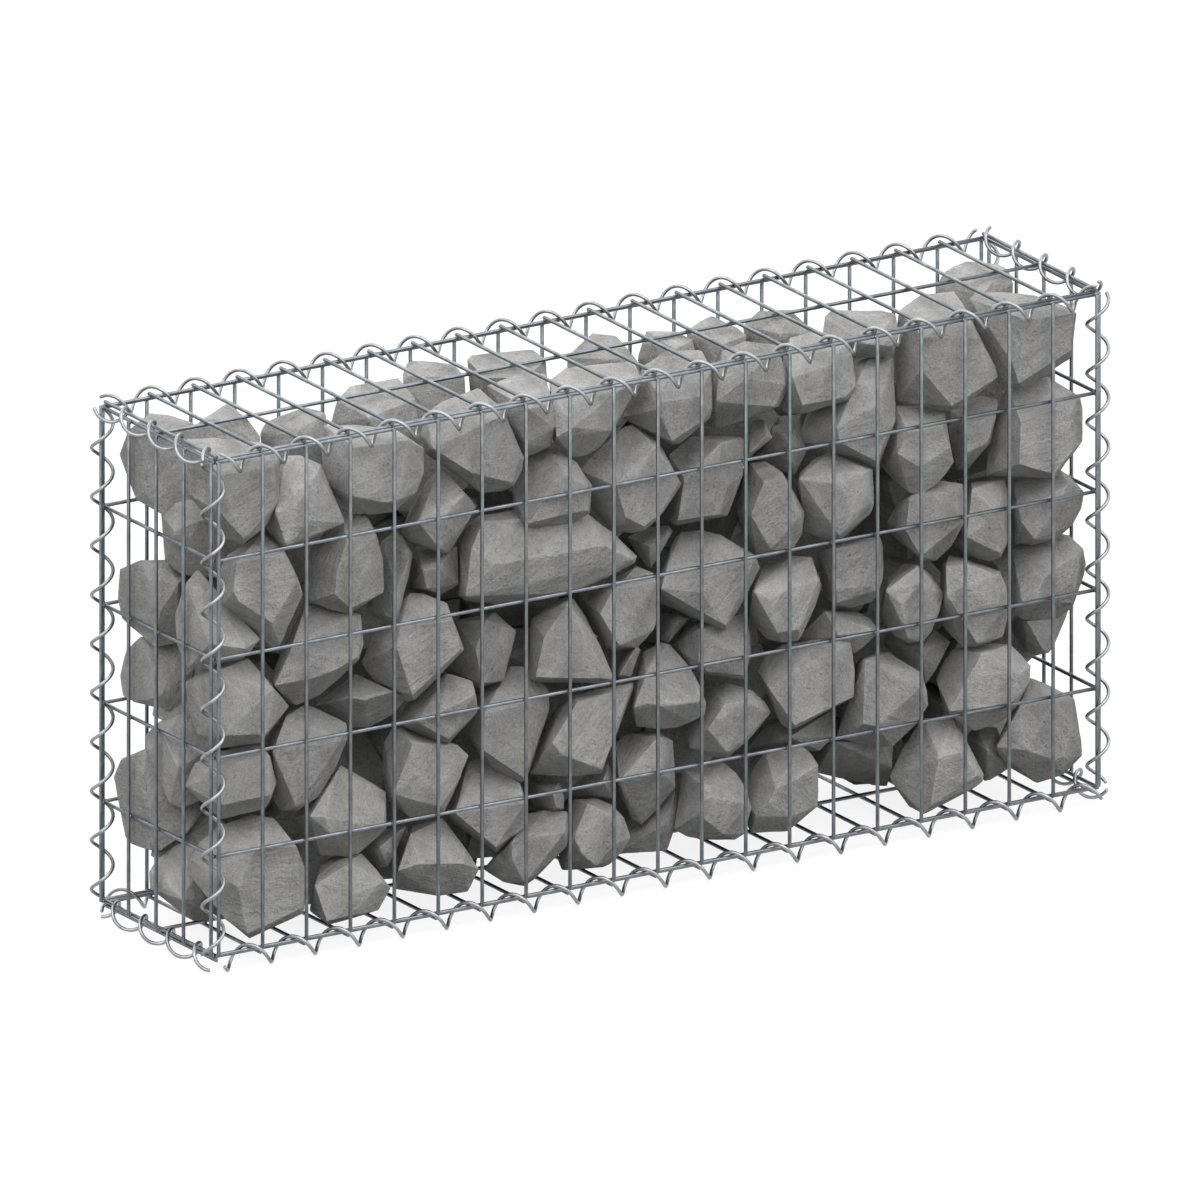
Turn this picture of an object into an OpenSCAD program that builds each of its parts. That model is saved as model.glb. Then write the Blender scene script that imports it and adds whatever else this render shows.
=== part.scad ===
// Gabion wall: a welded wire basket, laced along its edges with steel spirals and filled with broken stone.
// X runs along the wall, the front faces -Y, Z is up and the lowest spirals touch Z = 0.

/* [Basket] */
// Length of the wall between its corner wires
wall_l = 1000; // [400:10:2000]
// Depth of the wall between its corner wires
wall_d = 200; // [160:10:400]
// Height of the wall between its corner wires
wall_h = 500; // [300:10:1000]
// Spacing of the upright wires, as near as a whole number of openings allows
mesh_w = 50; // [40:1:70]
// Spacing of the level wires, as near as a whole number of openings allows
mesh_h = 100; // [80:1:140]
// Diameter of the mesh wire
wire_d = 3.8; // [3:0.1:5]
// Depth to which crossing wires sink into each other at a weld
weld_sink = 0.3; // [0.1:0.1:0.6]
// Length of a wire past the last wire that it crosses
wire_end = 0.8; // [0.4:0.1:2]
// Length of the lid and base cross wires past the last long wire
cross_end = 3; // [1:0.5:6]
// Gap between pieces that rest on each other
seat_gap = 0.3; // [0.2:0.05:0.5]

/* [Lacing spirals] */
// Outer diameter of a spiral
spiral_d = 24; // [22:0.5:30]
// Diameter of the spiral wire
spiral_wire_d = 3; // [2:0.1:4]
// Length by which a spiral stops short of the basket's corners
spiral_short = 0; // [0:0.5:10]

/* [Stones] */
// Layers of stones from front to back
layer_count = 2; // [2:1:4]
// Room between the layers
layer_gap = 16; // [4:1:30]
// Widest joint between stones that stand side by side
joint_gap = 3; // [1:0.5:6]
// Broken faces struck on each stone
struck_faces = 6; // [4:1:14]
// Least depth to which a broken face cuts, as a share of the stone's half size
struck_least = 0.9; // [0.8:0.01:0.95]
// Most that a broken face leaves, as a share of the stone's half size
struck_most = 1.06; // [0.98:0.01:1.1]
// Start of the random draws
stone_seed = 7; // [1:1:99]

/* [Hidden] */
wire_sides = 8;
spiral_sides = 4;
spiral_step = 45;
steel = "slategray";
bright_steel = "lightsteelblue";
rock = "dimgray";

wire_r = wire_d / 2;
wire_layer = wire_d - weld_sink;
corner_gap = 0.3;
panel_out = wire_layer + wire_r + wire_end + corner_gap;

bays_long = max(1, round(wall_l / mesh_w));
bays_deep = max(1, round(wall_d / mesh_w));
rows_high = max(1, round(wall_h / mesh_h));
rows_deep = max(1, round(wall_d / mesh_h));
pitch_long = wall_l / bays_long;
pitch_deep = wall_d / bays_deep;
pitch_high = wall_h / rows_high;
pitch_lid = wall_d / rows_deep;

spiral_r = spiral_d / 2 - spiral_wire_d / 2;
spiral_out = panel_out / 2;
rail_out = panel_out - wire_layer - spiral_out;
spiral_seat = spiral_r - spiral_wire_d / 2 - wire_r - seat_gap;
turns_up = max(1, round(pitch_high / mesh_w));

// The spirals: [name, side of the wall along X, Y and Z with 0 along the run, lag],
// where the lag is the angle by which a spiral trails its edge's outward line as it passes a mesh wire
edges = [
    ["spiral_front_bottom", [0, -1, -1], 27],
    ["spiral_front_top", [0, -1, 1], 40],
    ["spiral_back_bottom", [0, 1, -1], 20],
    ["spiral_back_top", [0, 1, 1], 0],
    ["spiral_left_bottom", [-1, 0, -1], 39],
    ["spiral_left_top", [-1, 0, 1], 33],
    ["spiral_right_bottom", [1, 0, -1], 39],
    ["spiral_right_top", [1, 0, 1], 33],
    ["spiral_front_left", [-1, -1, 0], 71],
    ["spiral_front_right", [1, -1, 0], -52],
    ["spiral_back_left", [-1, 1, 0], 63],
    ["spiral_back_right", [1, 1, 0], -52]
];

// The stones as they are laid in the front, course by course from the bottom:
// [along from the middle, up from the base, half width, half height, set back from the front]
stone_plan = [
    [
        [-425, 40, 43, 44, 0], [-435, 97, 48, 24, 10], [-325, 30, 40, 34, 0], [-330, 96, 48, 40, 8],
        [-225, 38, 44, 42, 2], [-160, 85, 42, 48, 8], [-117, 32, 41, 38, 2], [-45, 37, 36, 40, 0],
        [20, 76, 33, 46, 14], [94, 42, 40, 44, 0], [170, 42, 38, 46, 2], [295, 28, 42, 32, 58],
        [343, 42, 50, 46, 0], [460, 50, 46, 54, 0]
    ],
    [
        [-448, 150, 42, 28, 6], [-368, 166, 42, 50, 4], [-240, 133, 45, 48, 0], [-225, 195, 40, 38, 0],
        [-127, 162, 44, 50, 22], [-60, 140, 54, 42, 0], [43, 150, 38, 32, 4], [113, 122, 45, 40, 4],
        [197, 146, 50, 45, 0], [286, 113, 45, 50, 4], [345, 140, 30, 28, 32], [400, 107, 48, 43, 0],
        [472, 138, 28, 24, 26]
    ],
    [
        [-443, 236, 48, 44, 4], [-303, 211, 50, 32, 14], [-155, 245, 36, 46, 26], [-76, 230, 51, 45, 0],
        [-10, 252, 38, 36, 8], [35, 205, 30, 28, 34], [94, 192, 42, 36, 8], [170, 237, 37, 43, 0],
        [248, 186, 34, 26, 14], [248, 250, 36, 38, 4], [313, 207, 36, 43, 0], [387, 196, 36, 46, 0],
        [465, 207, 42, 41, 0]
    ],
    [
        [-450, 299, 40, 32, 20], [-362, 273, 48, 46, 0], [-251, 260, 54, 53, 0], [-96, 330, 98, 46, 2],
        [30, 300, 30, 28, 28], [87, 268, 52, 52, 0], [160, 320, 36, 55, 8], [230, 330, 40, 45, 0],
        [338, 284, 44, 40, 0], [408, 272, 32, 40, 14], [468, 277, 38, 36, 4]
    ],
    [
        [-420, 345, 42, 55, 4], [-328, 360, 42, 50, 4], [-261, 324, 30, 46, 22], [-215, 394, 38, 48, 8],
        [-92, 396, 40, 41, 0], [0, 388, 52, 54, 4], [87, 375, 40, 45, 4], [180, 385, 36, 32, 34],
        [250, 403, 49, 54, 4], [326, 362, 37, 47, 0], [404, 350, 34, 40, 26], [459, 358, 48, 50, 0]
    ],
    [
        [-445, 452, 42, 48, 4], [-370, 446, 40, 51, 0], [-293, 450, 53, 48, 0], [-180, 450, 48, 48, 0],
        [-103, 450, 36, 46, 18], [-45, 453, 40, 46, 0], [47, 453, 41, 46, 0], [133, 451, 43, 46, 8],
        [212, 455, 38, 44, 4], [357, 447, 52, 50, 0], [452, 449, 47, 48, 0]
    ]
];
courses = len(stone_plan);
// Stones set back further than this fill hollows in the front, and aren't repeated behind it
deepest_repeat = 10;
// Neighbours bear on each other where the line between them is steeper than this, as the sine of its slope
steep = 0.5;
// and where the plane between them lies within this share of the stone's own size
bearing_most = 1.1;

// The six flat sides of the basket

function grid(count, pitch) = [for (i = [0:count]) (i - count / 2) * pitch];

module wire(len) {
    rotate(180 / wire_sides)
        cylinder(r = wire_r / cos(180 / wire_sides), h = len, center = true, $fn = wire_sides);
}

// A panel lies in XY with its uprights along Y, on the side that faces +Z, and its rails along X beneath them
module panel(across, pitch_across, up, pitch_up, upright_end) {
    for (x = grid(across, pitch_across))
        translate([x, 0, panel_out])
            rotate([90, 0, 0])
                wire(up * pitch_up + 2 * upright_end);
    for (y = grid(up, pitch_up))
        translate([0, y, panel_out - wire_layer])
            rotate([0, 90, 0])
                wire(across * pitch_across + 2 * wire_end);
}

module side_mesh(turn) {
    color(steel)
        rotate(turn)
            translate([0, -wall_d / 2, basket_z + wall_h / 2])
                rotate([90, 0, 0])
                    panel(bays_long, pitch_long, rows_high, pitch_high, wire_end);
}

module end_mesh(turn) {
    color(steel)
        rotate(turn)
            translate([wall_l / 2, 0, basket_z + wall_h / 2])
                rotate([90, 0, 90])
                    panel(bays_deep, pitch_deep, rows_high, pitch_high, wire_end);
}

module lid_mesh() {
    color(steel)
        translate([0, 0, basket_z + wall_h])
            panel(bays_long, pitch_long, rows_deep, pitch_lid, cross_end);
}

module base_mesh() {
    color(steel)
        translate([0, 0, basket_z])
            mirror([0, 0, 1])
                panel(bays_long, pitch_long, rows_deep, pitch_lid, cross_end);
}

// The spirals that lace the sides together, one along each edge

// The two wires that a spiral goes round, from the middle of its corner
function edge_wires(side) =
    let (
        far = side * spiral_out,
        rail = side * rail_out
    )
    side.x == 0 ? [[0, rail.y, -far.z], [0, -far.y, rail.z]]
    : side.y == 0 ? [[rail.x, 0, -far.z], [-far.x, 0, far.z]]
    : [[-far.x, far.y, 0], [far.x, -far.y, 0]];

// A level spiral hangs down and outward, and an upright one slips along the wall, until it bears on a wire
function sag_way(side) = side.z == 0 ? [side.x, -side.y, 0] : [side.x, side.y, -1];
function sag_to(wire, way) =
    let (
        lean = wire * way,
        square = way * way
    )
    (lean + sqrt(lean * lean - square * (wire * wire - spiral_seat * spiral_seat))) / square;
function sag(side) = min([for (wire = edge_wires(side)) sag_to(wire, sag_way(side))]);

basket_z = spiral_out + spiral_d / 2 + max([for (edge = edges) if (edge[1].z < 0) sag(edge[1])]);

function edge_axis(side) =
    [side.x * wall_l / 2, side.y * wall_d / 2, basket_z + (1 + side.z) * wall_h / 2]
    + side * spiral_out + sag(side) * sag_way(side);

function ring(angle, along, pitch) =
    let (
        radial = [cos(angle), sin(angle), 0],
        lead = atan2(pitch, 360 * spiral_r * PI / 180),
        side = [sin(angle) * sin(lead), -cos(angle) * sin(lead), cos(lead)]
    )
    [for (k = [0:spiral_sides - 1])
        let (a = 360 * k / spiral_sides)
        [0, 0, along] + radial * (spiral_r + spiral_wire_d / 2 * cos(a)) + side * spiral_wire_d / 2 * sin(a)];

function tube_faces(rings) = concat(
    [[for (k = [0:spiral_sides - 1]) k]],
    [for (r = [0:rings - 2], k = [0:spiral_sides - 1], half = [0, 1])
        let (
            next = (k + 1) % spiral_sides,
            here = r * spiral_sides,
            above = here + spiral_sides
        )
        half == 0 ? [here + k, above + k, above + next] : [here + k, above + next, here + next]],
    [[for (k = [spiral_sides - 1:-1:0]) (rings - 1) * spiral_sides + k]]
);

// A right-handed spiral along Z, centred, that passes the grid line at its lower end at this angle
module spiral(run, pitch, pass) {
    first = pass + spiral_short / pitch * 360;
    last = pass + (run - spiral_short) / pitch * 360;
    between = [for (n = [floor(first / spiral_step) + 1:ceil(last / spiral_step) - 1]) n * spiral_step];
    angles = concat(first, between, last);
    points = [
        for (angle = angles)
            each ring(angle, (angle - pass) / 360 * pitch - run / 2, pitch)
    ];
    color(bright_steel)
        polyhedron(points, tube_faces(len(angles)));
}

// Each run has its own pitch, its own turn from Z, and its own outward line in the spiral's own X and Y
module edge_spiral(side, lag) {
    run = side.x == 0 ? wall_l : side.y == 0 ? wall_d : wall_h;
    pitch = side.x == 0 ? pitch_long : side.y == 0 ? pitch_deep : pitch_high / turns_up;
    way = side.x == 0 ? [90, 0, 90] : side.y == 0 ? [0, -90, -90] : [0, 0, 0];
    out = side.x == 0 ? [side.y, side.z] : side.y == 0 ? [side.z, side.x] : [side.x, side.y];
    translate(edge_axis(side))
        rotate(way)
            spiral(run, pitch, atan2(out.y, out.x) - lag);
}

// The stone fill

layer_d = (wall_d - (layer_count - 1) * layer_gap) / layer_count;
// The plan repeats along and up a larger wall, and stretches to a whole number of repeats
plan_right = max([for (course = stone_plan, s = course) s[0] + s[2]]);
plan_left = min([for (course = stone_plan, s = course) s[0] - s[2]]);
plan_l = plan_right - plan_left;
plan_h = max([for (course = stone_plan, s = course) s[1] + s[3]]);
tiles_long = max(1, round(wall_l / plan_l));
tiles_high = max(1, round(wall_h / plan_h));
tile_l = wall_l / tiles_long;
tile_h = wall_h / tiles_high;
stretch_l = tile_l / plan_l;
stretch_h = tile_h / plan_h;
fill_x = wall_l / 2 + panel_out - wire_layer - wire_r - seat_gap;
fill_y = wall_d / 2 - wire_r - seat_gap;
fill_top = basket_z + wall_h + panel_out - wire_layer - wire_r - seat_gap;
cross_wire_top = basket_z - panel_out + wire_r;
long_wire_top = cross_wire_top + wire_layer;

// Every stone in the basket: [middle, half sizes, layer, course]
stones = [
    for (layer = [0:layer_count - 1], course = [0:courses - 1])
        for (tile = [0:tiles_long - 1], lift = [0:tiles_high - 1], s = stone_plan[course])
            let (
                turn = layer % 2 == 0 ? 1 : -1,
                x = turn * s[0] * stretch_l + (tile - (tiles_long - 1) / 2) * tile_l,
                y = (layer_d - wall_d) / 2 + layer * (layer_d + layer_gap) + turn * s[4] * stretch_l,
                z = basket_z + s[1] * stretch_h + lift * tile_h
            )
            if (layer == 0 || s[4] <= deepest_repeat)
                [[x, y, z], [s[2] * stretch_l, layer_d / 2, s[3] * stretch_h], layer, course]
];

// Distance from an ellipsoid's middle to its surface along n, and to its tangent plane across n
function reach(n, half) = 1 / norm([n.x / half.x, n.y / half.y, n.z / half.z]);
function tangent(n, half) = norm([n.x * half.x, n.y * half.y, n.z * half.z]);

// A stone whose middle lies near one of the base's inner long wires rests on it. Any other rests on the cross
// wires, and stops short of the long wires if it comes down beside them
inner_wires = [for (y = grid(rows_deep, pitch_lid)) if (abs(y) < fill_y) y];
function over_wire(s) = len([for (y = inner_wires) if (abs(y - s[0].y) < s[1].y / 2) y]) > 0;
function rest_z(s) = (over_wire(s) ? long_wire_top : cross_wire_top) + seat_gap;
function wire_cuts(s) = [
    for (y = inner_wires)
        if (!over_wire(s) && s[0].z - s[1].z < long_wire_top)
            [[0, sign(y - s[0].y), 0], abs(y - s[0].y) - wire_r - seat_gap]
];

// Cuts that keep a stone in the basket, each as [outward normal, distance from the stone's middle]
function box_cuts(s) = [
    [[1, 0, 0], fill_x - s[0].x],
    [[-1, 0, 0], fill_x + s[0].x],
    [[0, 1, 0], fill_y - s[0].y],
    [[0, -1, 0], fill_y + s[0].y],
    [[0, 0, 1], fill_top - s[0].z],
    [[0, 0, -1], s[0].z - rest_z(s)]
];

// Cuts that keep a stone out of the spirals
function edge_cut(s, side) =
    let (n = side / norm(side))
    [n, n * (edge_axis(side) - s[0]) - spiral_d / 2 - seat_gap];
function edge_cuts(s) = [for (edge = edges) edge_cut(s, edge[1])];

// Cuts against the neighbours: each pair shares one plane, and keeps clear of it by half its joint
function pair_joint(n, i, j) =
    abs(n.z) > steep ? seat_gap : rands(seat_gap, joint_gap, 1, stone_seed + i * j + i + j)[0];
function pair_cut(i, j) =
    let (
        apart = stones[j][0] - stones[i][0],
        n = apart / norm(apart),
        mine = reach(n, stones[i][1]),
        theirs = reach(n, stones[j][1])
    )
    [n, norm(apart) * mine / (mine + theirs) - pair_joint(n, i, j) / 2];
function pair_cuts(i) = [for (j = [0:len(stones) - 1]) if (i != j) pair_cut(i, j)];

// The points, from a stone's middle, where it bears on the stones below it and carries those above
function bearings(i) = [
    for (cut = pair_cuts(i))
        if (abs(cut[0].z) > steep && cut[1] < bearing_most * reach(cut[0], stones[i][1]))
            cut[0] * cut[1]
];

// Broken faces, spread evenly about the stone and turned by chance, that leave its bearing points on
golden_angle = 180 * (3 - sqrt(5));
function turned_x(v, a) = [v.x, v.y * cos(a) - v.z * sin(a), v.y * sin(a) + v.z * cos(a)];
function turned_z(v, a) = [v.x * cos(a) - v.y * sin(a), v.x * sin(a) + v.y * cos(a), v.z];
function struck_cuts(i) =
    let (
        spin = rands(0, 360, 3, stone_seed + 2 * i),
        keep = rands(struck_least, struck_most, struck_faces, stone_seed + 2 * i + 1),
        bearing = bearings(i)
    )
    [for (k = [0:struck_faces - 1])
        let (
            up = 1 - (2 * k + 1) / struck_faces,
            out = sqrt(1 - up * up),
            turn = k * golden_angle + spin[0],
            n = turned_z(turned_x([out * cos(turn), out * sin(turn), up], spin[1]), spin[2])
        )
        [n, max([keep[k] * tangent(n, stones[i][1]), for (point = bearing) n * point])]];

module half_space(n, distance, block) {
    rotate([0, acos(n.z), atan2(n.y, n.x)])
        translate([-block / 2, -block / 2, distance - block])
            cube(block);
}

function cuts_on(i) =
    concat(box_cuts(stones[i]), wire_cuts(stones[i]), edge_cuts(stones[i]), pair_cuts(i), struck_cuts(i));

module stone(i) {
    largest = 2 * max(stones[i][1]);
    cuts = [
        for (cut = cuts_on(i))
            if (cut[1] < largest) cut
    ];
    translate(stones[i][0])
        hull()
            intersection_for (cut = cuts)
                half_space(cut[0], cut[1], 3 * largest);
}

module stone_course(back, course) {
    color(rock)
        for (i = [0:len(stones) - 1])
            if (stones[i][3] == course - 1 && (stones[i][2] == layer_count - 1) == back)
                stone(i);
}

side_mesh(0);  // front_mesh
side_mesh(180);  // back_mesh
end_mesh(180);  // left_end_mesh
end_mesh(0);  // right_end_mesh
base_mesh();
lid_mesh();

for (edge = edges) {
    edge_spiral(edge[1], edge[2]);
}

for (c = [1:courses]) {
    stone_course(false, c);
    stone_course(true, c);
}
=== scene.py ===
# %% [markdown]
# # A gabion wall
# A gabion is a wire basket full of stone. This one is a metre long: six welded mesh sides, twelve steel
# spirals that lace the sides together along the edges, and broken grey stone inside.
# The solids of all these pieces come in as a fixed frame. They are exact in size and place but plain:
# the wires have flat sides and the stones have knife edges. Each lesson below makes one kind of piece
# again, in the same place, with the roundness, wear and finish of the real one.

# %% Load the frame
import math
import random

import bmesh
import bpy
import numpy as np
from mathutils import Euler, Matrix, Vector, noise


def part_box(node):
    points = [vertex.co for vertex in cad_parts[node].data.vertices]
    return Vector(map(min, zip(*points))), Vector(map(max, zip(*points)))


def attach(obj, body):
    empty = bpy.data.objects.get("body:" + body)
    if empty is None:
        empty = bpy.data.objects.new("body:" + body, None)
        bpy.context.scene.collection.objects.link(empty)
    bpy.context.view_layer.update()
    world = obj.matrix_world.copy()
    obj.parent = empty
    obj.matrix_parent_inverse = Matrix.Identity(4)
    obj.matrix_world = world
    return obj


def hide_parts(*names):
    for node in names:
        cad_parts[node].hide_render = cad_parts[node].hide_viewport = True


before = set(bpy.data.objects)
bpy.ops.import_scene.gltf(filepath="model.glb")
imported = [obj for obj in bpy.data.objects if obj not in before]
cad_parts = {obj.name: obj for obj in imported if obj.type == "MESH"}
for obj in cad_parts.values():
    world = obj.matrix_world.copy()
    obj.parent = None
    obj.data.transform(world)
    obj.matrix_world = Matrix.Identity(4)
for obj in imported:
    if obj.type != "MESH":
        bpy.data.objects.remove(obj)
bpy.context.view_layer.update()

# %% [markdown]
# ## Shader maths as Python
# A finish is a sum of small effects: grain, blotches, wear. Wiring Math nodes by hand hides that sum, so a
# small class wraps a socket and lets Python's own operators add the nodes. Any other node comes from one
# method that takes its type, its settings and the values or links of its sockets.


# %% The socket class
class Shade:
    """An output socket of a material's node tree. Arithmetic on it adds Math nodes."""

    def __init__(self, tree, socket=None):
        self.tree = tree
        self.socket = socket

    def node(self, kind, settings=(), sockets=(), output=0):
        """Adds a node, sets it up, then fills its sockets by name or number."""
        made = self.tree.nodes.new(kind)
        for name, value in dict(settings).items():
            if name == "stops":
                self.set_stops(made.color_ramp.elements, value)
            else:
                setattr(made, name, value)
        for name, value in dict(sockets).items():
            if isinstance(value, Shade):
                self.tree.links.new(value.socket, made.inputs[name])
            else:
                made.inputs[name].default_value = value
        return Shade(self.tree, made.outputs[output])

    @staticmethod
    def set_stops(elements, stops):
        while len(elements) < len(stops):
            elements.new(1.0)
        for element, (position, grey) in zip(elements, stops):
            element.position = position
            element.color = (grey, grey, grey, 1.0)

    def math(self, operation, *values):
        return self.node("ShaderNodeMath", {"operation": operation}, dict(enumerate(values)))

    def __add__(self, other):
        return self.math("ADD", self, other)

    def __radd__(self, other):
        return self.math("ADD", other, self)

    def __sub__(self, other):
        return self.math("SUBTRACT", self, other)

    def __rsub__(self, other):
        return self.math("SUBTRACT", other, self)

    def __mul__(self, other):
        return self.math("MULTIPLY", self, other)

    def noise(self, scale, detail=2.0, roughness=0.5):
        """Noise from 0 to 1 over this vector, with its features about 1 / scale metres apart."""
        sockets = {"Vector": self, "Scale": scale, "Detail": detail, "Roughness": roughness}
        return self.node("ShaderNodeTexNoise", (), sockets)

    def ramp(self, *stops):
        """This value through a grey ramp of (position, brightness) stops."""
        return self.node("ShaderNodeValToRGB", {"stops": stops}, {"Fac": self})

    def stretched(self, x, y, z):
        """This vector with each axis multiplied."""
        settings = {"operation": "MULTIPLY"}
        return self.node("ShaderNodeVectorMath", settings, {0: self, 1: (x, y, z)})

    def mix(self, dark, light):
        """From one colour to another as this value goes from 0 to 1."""
        settings = {"data_type": "RGBA"}
        return self.node("ShaderNodeMix", settings, {0: self, 6: dark, 7: light}, output=2)


def new_material(name):
    """A material with a Principled shader, that shader's node, and a Shade for its tree."""
    material = bpy.data.materials.new(name)
    material.use_nodes = True
    return material, material.node_tree.nodes["Principled BSDF"], Shade(material.node_tree)


def plug(shade, target):
    shade.tree.links.new(shade.socket, target)


print("shader maths ready")

# %% [markdown]
# ## Galvanised steel
# Hot-dipped wire is steel under a skin of zinc. Zinc is a bluish grey metal that is never evenly bright: it
# dulls in patches, and fine lines from the drawing die run along the wire. So the metal's colour and its
# roughness share one patchy noise, and a finer noise roughens it. The spirals are drawn from brighter
# spring wire, so the same function makes a lighter, smoother version for them.

# %% Wire finishes
MESH_ZINC = ((0.125, 0.138, 0.150, 1.0), (0.215, 0.233, 0.247, 1.0))
SPIRAL_ZINC = ((0.200, 0.207, 0.218, 1.0), (0.335, 0.345, 0.358, 1.0))
# roughness in the middle, and how much rougher a bright patch is than a dull one
MESH_ROUGHNESS = (0.36, -0.10)
SPIRAL_ROUGHNESS = (0.33, -0.08)
# noises: features to the metre, detail, roughness
ZINC_PATCHES = (90.0, 3.0, 0.6)
ZINC_GRAIN = (1400.0, 2.0)
GRAIN_HEIGHT = 0.0003


def zinc_finish(name, colours, roughness, roughness_spread):
    material, shader, tree = new_material(name)
    place = tree.node("ShaderNodeTexCoord", output="Object")
    patches = place.noise(*ZINC_PATCHES).ramp((0.35, 0.0), (0.68, 1.0))
    grain = place.noise(*ZINC_GRAIN)
    plug((patches * 0.75 + grain * 0.25).mix(*colours), shader.inputs["Base Color"])
    plug(roughness + (patches - 0.5) * roughness_spread + grain * 0.06, shader.inputs["Roughness"])
    bump = tree.node("ShaderNodeBump", (), {"Strength": 0.12, "Distance": GRAIN_HEIGHT, "Height": grain})
    plug(bump, shader.inputs["Normal"])
    shader.inputs["Metallic"].default_value = 1.0
    return material


mesh_zinc = zinc_finish("dull zinc on mesh wire", MESH_ZINC, *MESH_ROUGHNESS)
spiral_zinc = zinc_finish("bright zinc on spring wire", SPIRAL_ZINC, *SPIRAL_ROUGHNESS)
print("wire finishes:", mesh_zinc.name, "and", spiral_zinc.name)

# %% [markdown]
# ## Skins made of rings
# A wire is a row of rings with a skin drawn between them, whether it runs straight or turns in a helix.
# Building the rings as number arrays is quicker than a curve with a bevel, and gives exact control of the
# sheared ends: each wire ends in a small chamfer and a flat, as cutters leave it.

# %% Ring tools
WIRE_SIDES = 16
CUT_CHAMFER = 0.0003
BEAD_RINGS = 7
BEAD_SIDES = 12
BEAD_TIP = 0.04


def skin(rings):
    """Points and faces of a closed skin over an array of rings, shaped (rings, sides, 3)."""
    count, sides, _ = rings.shape
    faces = [tuple(reversed(range(sides))), tuple(range((count - 1) * sides, count * sides))]
    for ring in range(count - 1):
        for side in range(sides):
            here = ring * sides + side
            across = ring * sides + (side + 1) % sides
            faces.append((here, across, across + sides, here + sides))
    return rings.reshape(-1, 3), faces


def circle(sides):
    turn = np.arange(sides) * 2 * math.pi / sides
    return np.cos(turn), np.sin(turn)


def rod(start, end, radius):
    """A straight wire with chamfered ends."""
    start, end = np.array(start), np.array(end)
    way = (end - start) / np.linalg.norm(end - start)
    one = np.cross(way, np.roll(way, 1))
    two = np.cross(way, one)
    across, up = circle(WIRE_SIDES)
    round_line = np.outer(across, one) + np.outer(up, two)
    cut = way * CUT_CHAMFER
    middles = (start, start + cut, end - cut, end)
    radii = (radius - CUT_CHAMFER, radius, radius, radius - CUT_CHAMFER)
    return skin(np.array([m + round_line * r for m, r in zip(middles, radii)]))


def pebble(middle, half_sizes):
    """A small ellipsoid: the bead of metal that a spot weld squeezes out."""
    across, up = circle(BEAD_SIDES)
    rows = []
    for row in range(BEAD_RINGS):
        lift = math.pi * (BEAD_TIP + (1 - 2 * BEAD_TIP) * row / (BEAD_RINGS - 1)) - math.pi / 2
        level = np.full(BEAD_SIDES, math.sin(lift))
        rows.append(np.stack([across * math.cos(lift), up * math.cos(lift), level], 1))
    return skin(np.array(rows) * np.array(half_sizes) + np.array(middle))


def piece_from(name, parts, material):
    """Joins (points, faces) parts into one smooth object."""
    points, faces, start = [], [], 0
    for part_points, part_faces in parts:
        points.append(part_points)
        faces.extend(tuple(start + corner for corner in face) for face in part_faces)
        start += len(part_points)
    mesh = bpy.data.meshes.new(name)
    mesh.from_pydata(np.concatenate(points).tolist(), [], faces)
    mesh.materials.append(material)
    mesh.shade_smooth()
    piece = bpy.data.objects.new(name, mesh)
    bpy.context.scene.collection.objects.link(piece)
    return piece


def triangles(piece):
    return sum(len(face.vertices) - 2 for face in piece.data.polygons)


print("ring tools ready,", WIRE_SIDES, "sides to a wire")

# %% [markdown]
# ## The six mesh sides
# Each side is a welded panel: straight wires one way, laid on straight wires the other way, and fused where
# they cross. Both layers can be read from the panel's box in the frame, since the outer wires touch
# its outer face and the inner wires its inner face. A bead at each crossing shows the weld.

# %% Mesh panels
WIRE_R = 0.0019
MESH_W = 0.05
MESH_H = 0.1
WIRE_END = 0.0008
LID_END = 0.003
WELD_SPREAD = 1.25
WELD_HEIGHT = 0.0016

# panel: axis it faces, which way it faces, axis across the outer wires, their ends, the other axis
X, Y, Z = 0, 1, 2
PANELS = {
    "front_mesh": (Y, -1, X, WIRE_END, Z),
    "back_mesh": (Y, 1, X, WIRE_END, Z),
    "left_end_mesh": (X, -1, Y, WIRE_END, Z),
    "right_end_mesh": (X, 1, Y, WIRE_END, Z),
    "lid_mesh": (Z, 1, X, LID_END, Y),
    "base_mesh": (Z, -1, X, LID_END, Y),
}


def grid_lines(low, high, spacing):
    return np.linspace(low, high, round((high - low) / spacing) + 1)


def mesh_panel(node, facing, way, across, outer_end, along):
    low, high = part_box(node)
    depths = (low[facing] + WIRE_R, high[facing] - WIRE_R)
    outer, inner = depths if way < 0 else depths[::-1]
    columns = grid_lines(low[across] + WIRE_END, high[across] - WIRE_END, MESH_W)
    rows = grid_lines(low[along] + outer_end, high[along] - outer_end, MESH_H)

    def at(depth, a, b):
        point = [0.0, 0.0, 0.0]
        point[facing], point[across], point[along] = depth, a, b
        return point

    parts = [rod(at(outer, c, low[along]), at(outer, c, high[along]), WIRE_R) for c in columns]
    parts += [rod(at(inner, low[across], r), at(inner, high[across], r), WIRE_R) for r in rows]
    bead = at(WELD_HEIGHT, WELD_SPREAD * WIRE_R, WELD_SPREAD * WIRE_R)
    parts += [pebble(at((outer + inner) / 2, c, r), bead) for c in columns for r in rows]
    piece = piece_from(node + ".welded", parts, mesh_zinc)
    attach(piece, "root")
    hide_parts(node)
    print(node, len(columns), "x", len(rows), "wires,", triangles(piece), "triangles")


for node, layout in PANELS.items():
    mesh_panel(node, *layout)

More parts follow.
